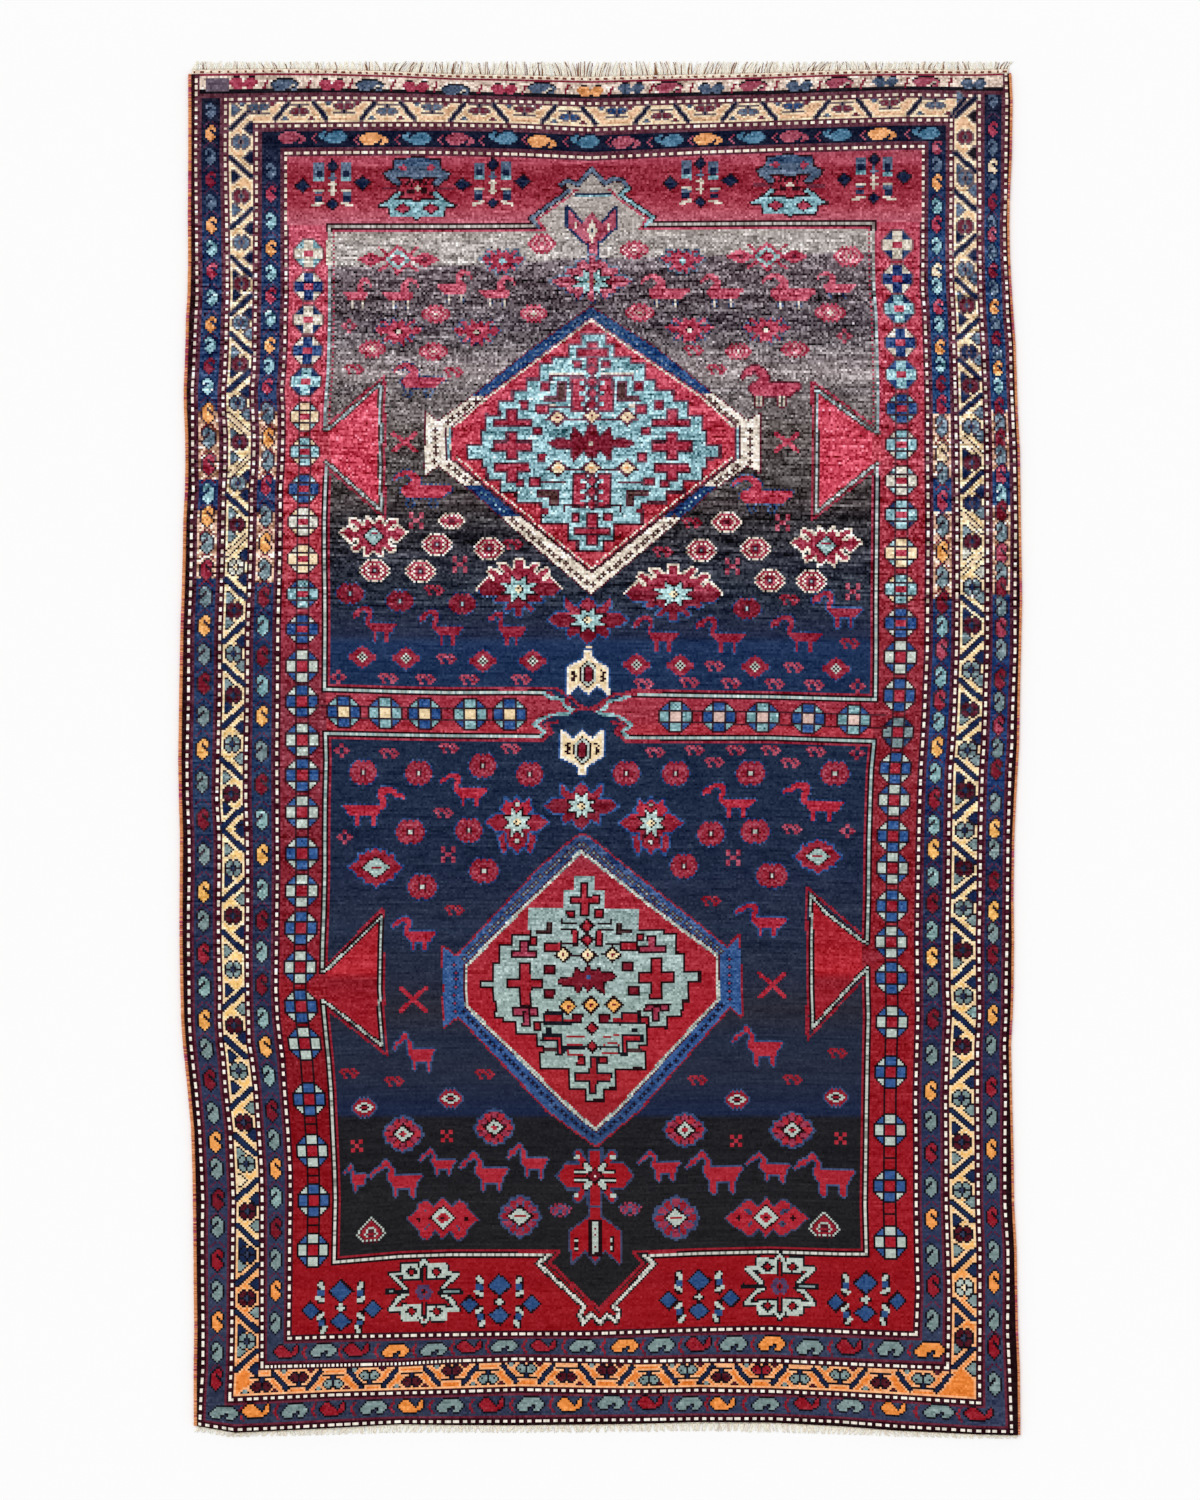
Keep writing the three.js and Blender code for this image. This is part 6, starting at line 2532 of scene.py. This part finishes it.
def end_strip(name, side, node, width):
    """The narrow woven strip past the pile: rows of twining over the warps. side is -1 at the top."""
    row = 0 if side < 0 else -1
    line_x, line_y = corner_x[row], corner_y[row]
    steps = max(2, round(width / TWINING_ROW)) + 1
    shares = np.linspace(0, 1, steps)[:, None]
    xs = np.repeat(line_x[None], steps, 0)
    ys = line_y[None] + side * shares * width
    order = slice(None, None, -1) if side < 0 else slice(None)
    mx, my = metres(xs, ys)
    zs = STRIP_HEIGHT + WARP_RELIEF * np.sin(np.arange(xs.shape[1]) * np.pi / 2)[None] * np.ones((steps, 1))
    zs += TWINING_RELIEF * (np.arange(steps) % 2)[:, None]
    zs[-1] = STRIP_EDGE_HEIGHT
    tone = np.empty((steps - 1, xs.shape[1] - 1, 3))
    tone[:] = srgb_of(STRIP_WOOL)
    tone += random.normal(size=tone.shape[:2] + (1,)) * 20
    if width > DOTTED_FROM_WIDTH:
        warps = xs.shape[1] - 1
        dots = (np.arange(warps) / DOT_PITCH + 0.03 * random.normal(size=warps)) % 1 < DOT_SHARE
        tone[1:3, dots] = srgb_of(DOT_WOOL)
        tone[4:] = srgb_of(STRIP_EDGE_WOOL)
    mx, my, zs, tone = mx[order], my[order], zs[order], tone[order]
    mesh = grid_mesh(name, mx, my, zs, linear(np.clip(tone, 5, 250)))
    return add_piece(mesh, warp_yarn, node)


def warp_ends(name, side, node, width, reach):
    """Fine warp ends past the strip, lying on the floor. reach gives how far each stands out."""
    row = 0 if side < 0 else -1
    number = np.arange(STRANDS)
    share = (number + 0.5) / STRANDS
    where = np.interp(share * COLUMNS, np.arange(COLUMNS + 1), corner_x[row])
    start = np.interp(where, corner_x[row], corner_y[row]) + side * width
    lengths = reach(where, start) * (0.76 + 0.24 * random.random(STRANDS))
    clump = (CLUMP // 2 + number // CLUMP * CLUMP - number) * 0.6
    sway_places = np.arange(0, STRANDS + SWAY_SPAN, SWAY_SPAN)
    sway = np.interp(number, sway_places, random.normal(size=STRANDS // SWAY_SPAN + 2) * 4)
    lean = random.normal(size=STRANDS) * 1.1 + clump * 0.9 + sway
    t = np.linspace(0, 1, STRAND_RINGS)[None]
    x = where[:, None] + lean[:, None] * t ** 1.4 + 0.25 * np.sin(7 * t + random.random((STRANDS, 1)) * 6)
    y = start[:, None] + side * (lengths[:, None] * t - 0.8)
    mx, my = metres(x, y)
    z = STRAND_HEIGHT - STRAND_DROP * t + 0 * x
    centres = np.stack([mx, my, z], -1)
    angles = np.linspace(0, 2 * np.pi, STRAND_SIDES, endpoint=False)
    radius = STRAND_RADIUS * (1 - 0.4 * t)[..., None] * np.ones((STRANDS, 1, STRAND_SIDES))
    sections = np.stack([np.cos(angles) * radius, 0 * radius, np.sin(angles) * radius * 0.85], -1)
    tone = np.empty((STRANDS, STRAND_RINGS - 1, 3))
    tone[:] = srgb_of(WARP_WOOL)
    tone += random.normal(size=(STRANDS, 1, 1)) * 7
    brown = random.random(STRANDS) < np.interp(where, (330, 400), (0.06, 0.2)) * (side < 0)
    tone[brown] = srgb_of(BROWN_WARP_WOOL)
    tone += random.normal(size=(STRANDS, 1, 1)) * 9
    mesh = tube_mesh(name, centres, sections, linear(np.clip(tone, 5, 250)))
    return add_piece(mesh, warp_yarn, node)


TOP_STRIP = 5.6
BOTTOM_STRIP = 1.8
TOP_TIPS = 59.6
strip_top = end_strip("end_strip_top", -1, "fringe_top", TOP_STRIP)
strip_bottom = end_strip("end_strip_bottom", 1, "fringe_bottom", BOTTOM_STRIP)
ends_top = warp_ends("warp_ends_top", -1, "fringe_top", TOP_STRIP, lambda x, y: y - TOP_TIPS)
tips_x = [190, 235, 330, 400, 520, 640, 700, 840, 900, 975, 1012]
tips_y = [1433.0, 1439.0, 1437.0, 1434.5, 1434.5, 1434.0, 1433.0, 1436.0, 1438.5, 1440.5, 1440.5]
ends_bottom = warp_ends("warp_ends_bottom", 1, "fringe_bottom", BOTTOM_STRIP,
                        lambda x, y: np.interp(x, tips_x, tips_y) - y)


# Floor, light and camera
CAMERA_HEIGHT = 5.2
SENSOR_HEIGHT = 36
FLOOR_REACH = 6.0
SKY_STRENGTH = 0.82
LAMP_STRENGTH = 0.85
LAMP_ANGLE = 0.5
LAMP_TURN = (-0.55, -0.45, 0)


def studio():
    floor_mesh = bpy.data.meshes.new("floor")
    reach = FLOOR_REACH
    corners = [(-reach, -reach, 0), (reach, -reach, 0), (reach, reach, 0), (-reach, reach, 0)]
    floor_mesh.from_pydata(corners, [], [(0, 1, 2, 3)])
    floor = bpy.data.objects.new("floor", floor_mesh)
    bpy.context.collection.objects.link(floor)
    pale = bpy.data.materials.new("pale floor")
    pale.use_nodes = True
    shader = pale.node_tree.nodes["Principled BSDF"]
    shader.inputs["Base Color"].default_value = (0.95, 0.95, 0.95, 1)
    shader.inputs["Roughness"].default_value = 0.9
    shader.inputs["Specular IOR Level"].default_value = 0.1
    floor_mesh.materials.append(pale)

    world = bpy.data.worlds.new("studio")
    world.use_nodes = True
    world.node_tree.nodes["Background"].inputs["Color"].default_value = (1, 1, 1, 1)
    world.node_tree.nodes["Background"].inputs["Strength"].default_value = SKY_STRENGTH
    bpy.context.scene.world = world

    lamp = bpy.data.lights.new("soft lamp", "SUN")
    lamp.angle = LAMP_ANGLE
    lamp.energy = LAMP_STRENGTH
    light = bpy.data.objects.new("soft lamp", lamp)
    light.rotation_euler = LAMP_TURN
    bpy.context.collection.objects.link(light)

    scene = bpy.context.scene
    scene.view_settings.view_transform = "Standard"


def photo_camera():
    """Straight above, its frame as high and wide as the photo's."""
    frame_height = CHART_HEIGHT * CHART_UNIT
    data = bpy.data.cameras.new("camera")
    data.sensor_fit = "VERTICAL"
    data.sensor_height = SENSOR_HEIGHT
    data.lens = SENSOR_HEIGHT * (CAMERA_HEIGHT - PILE_TOP) / frame_height
    camera = bpy.data.objects.new("camera", data)
    camera.location = ((CHART_MIDDLE_X - MIDDLE_X) * CHART_UNIT, 0, CAMERA_HEIGHT)
    bpy.context.collection.objects.link(camera)
    bpy.context.scene.camera = camera


studio()
photo_camera()
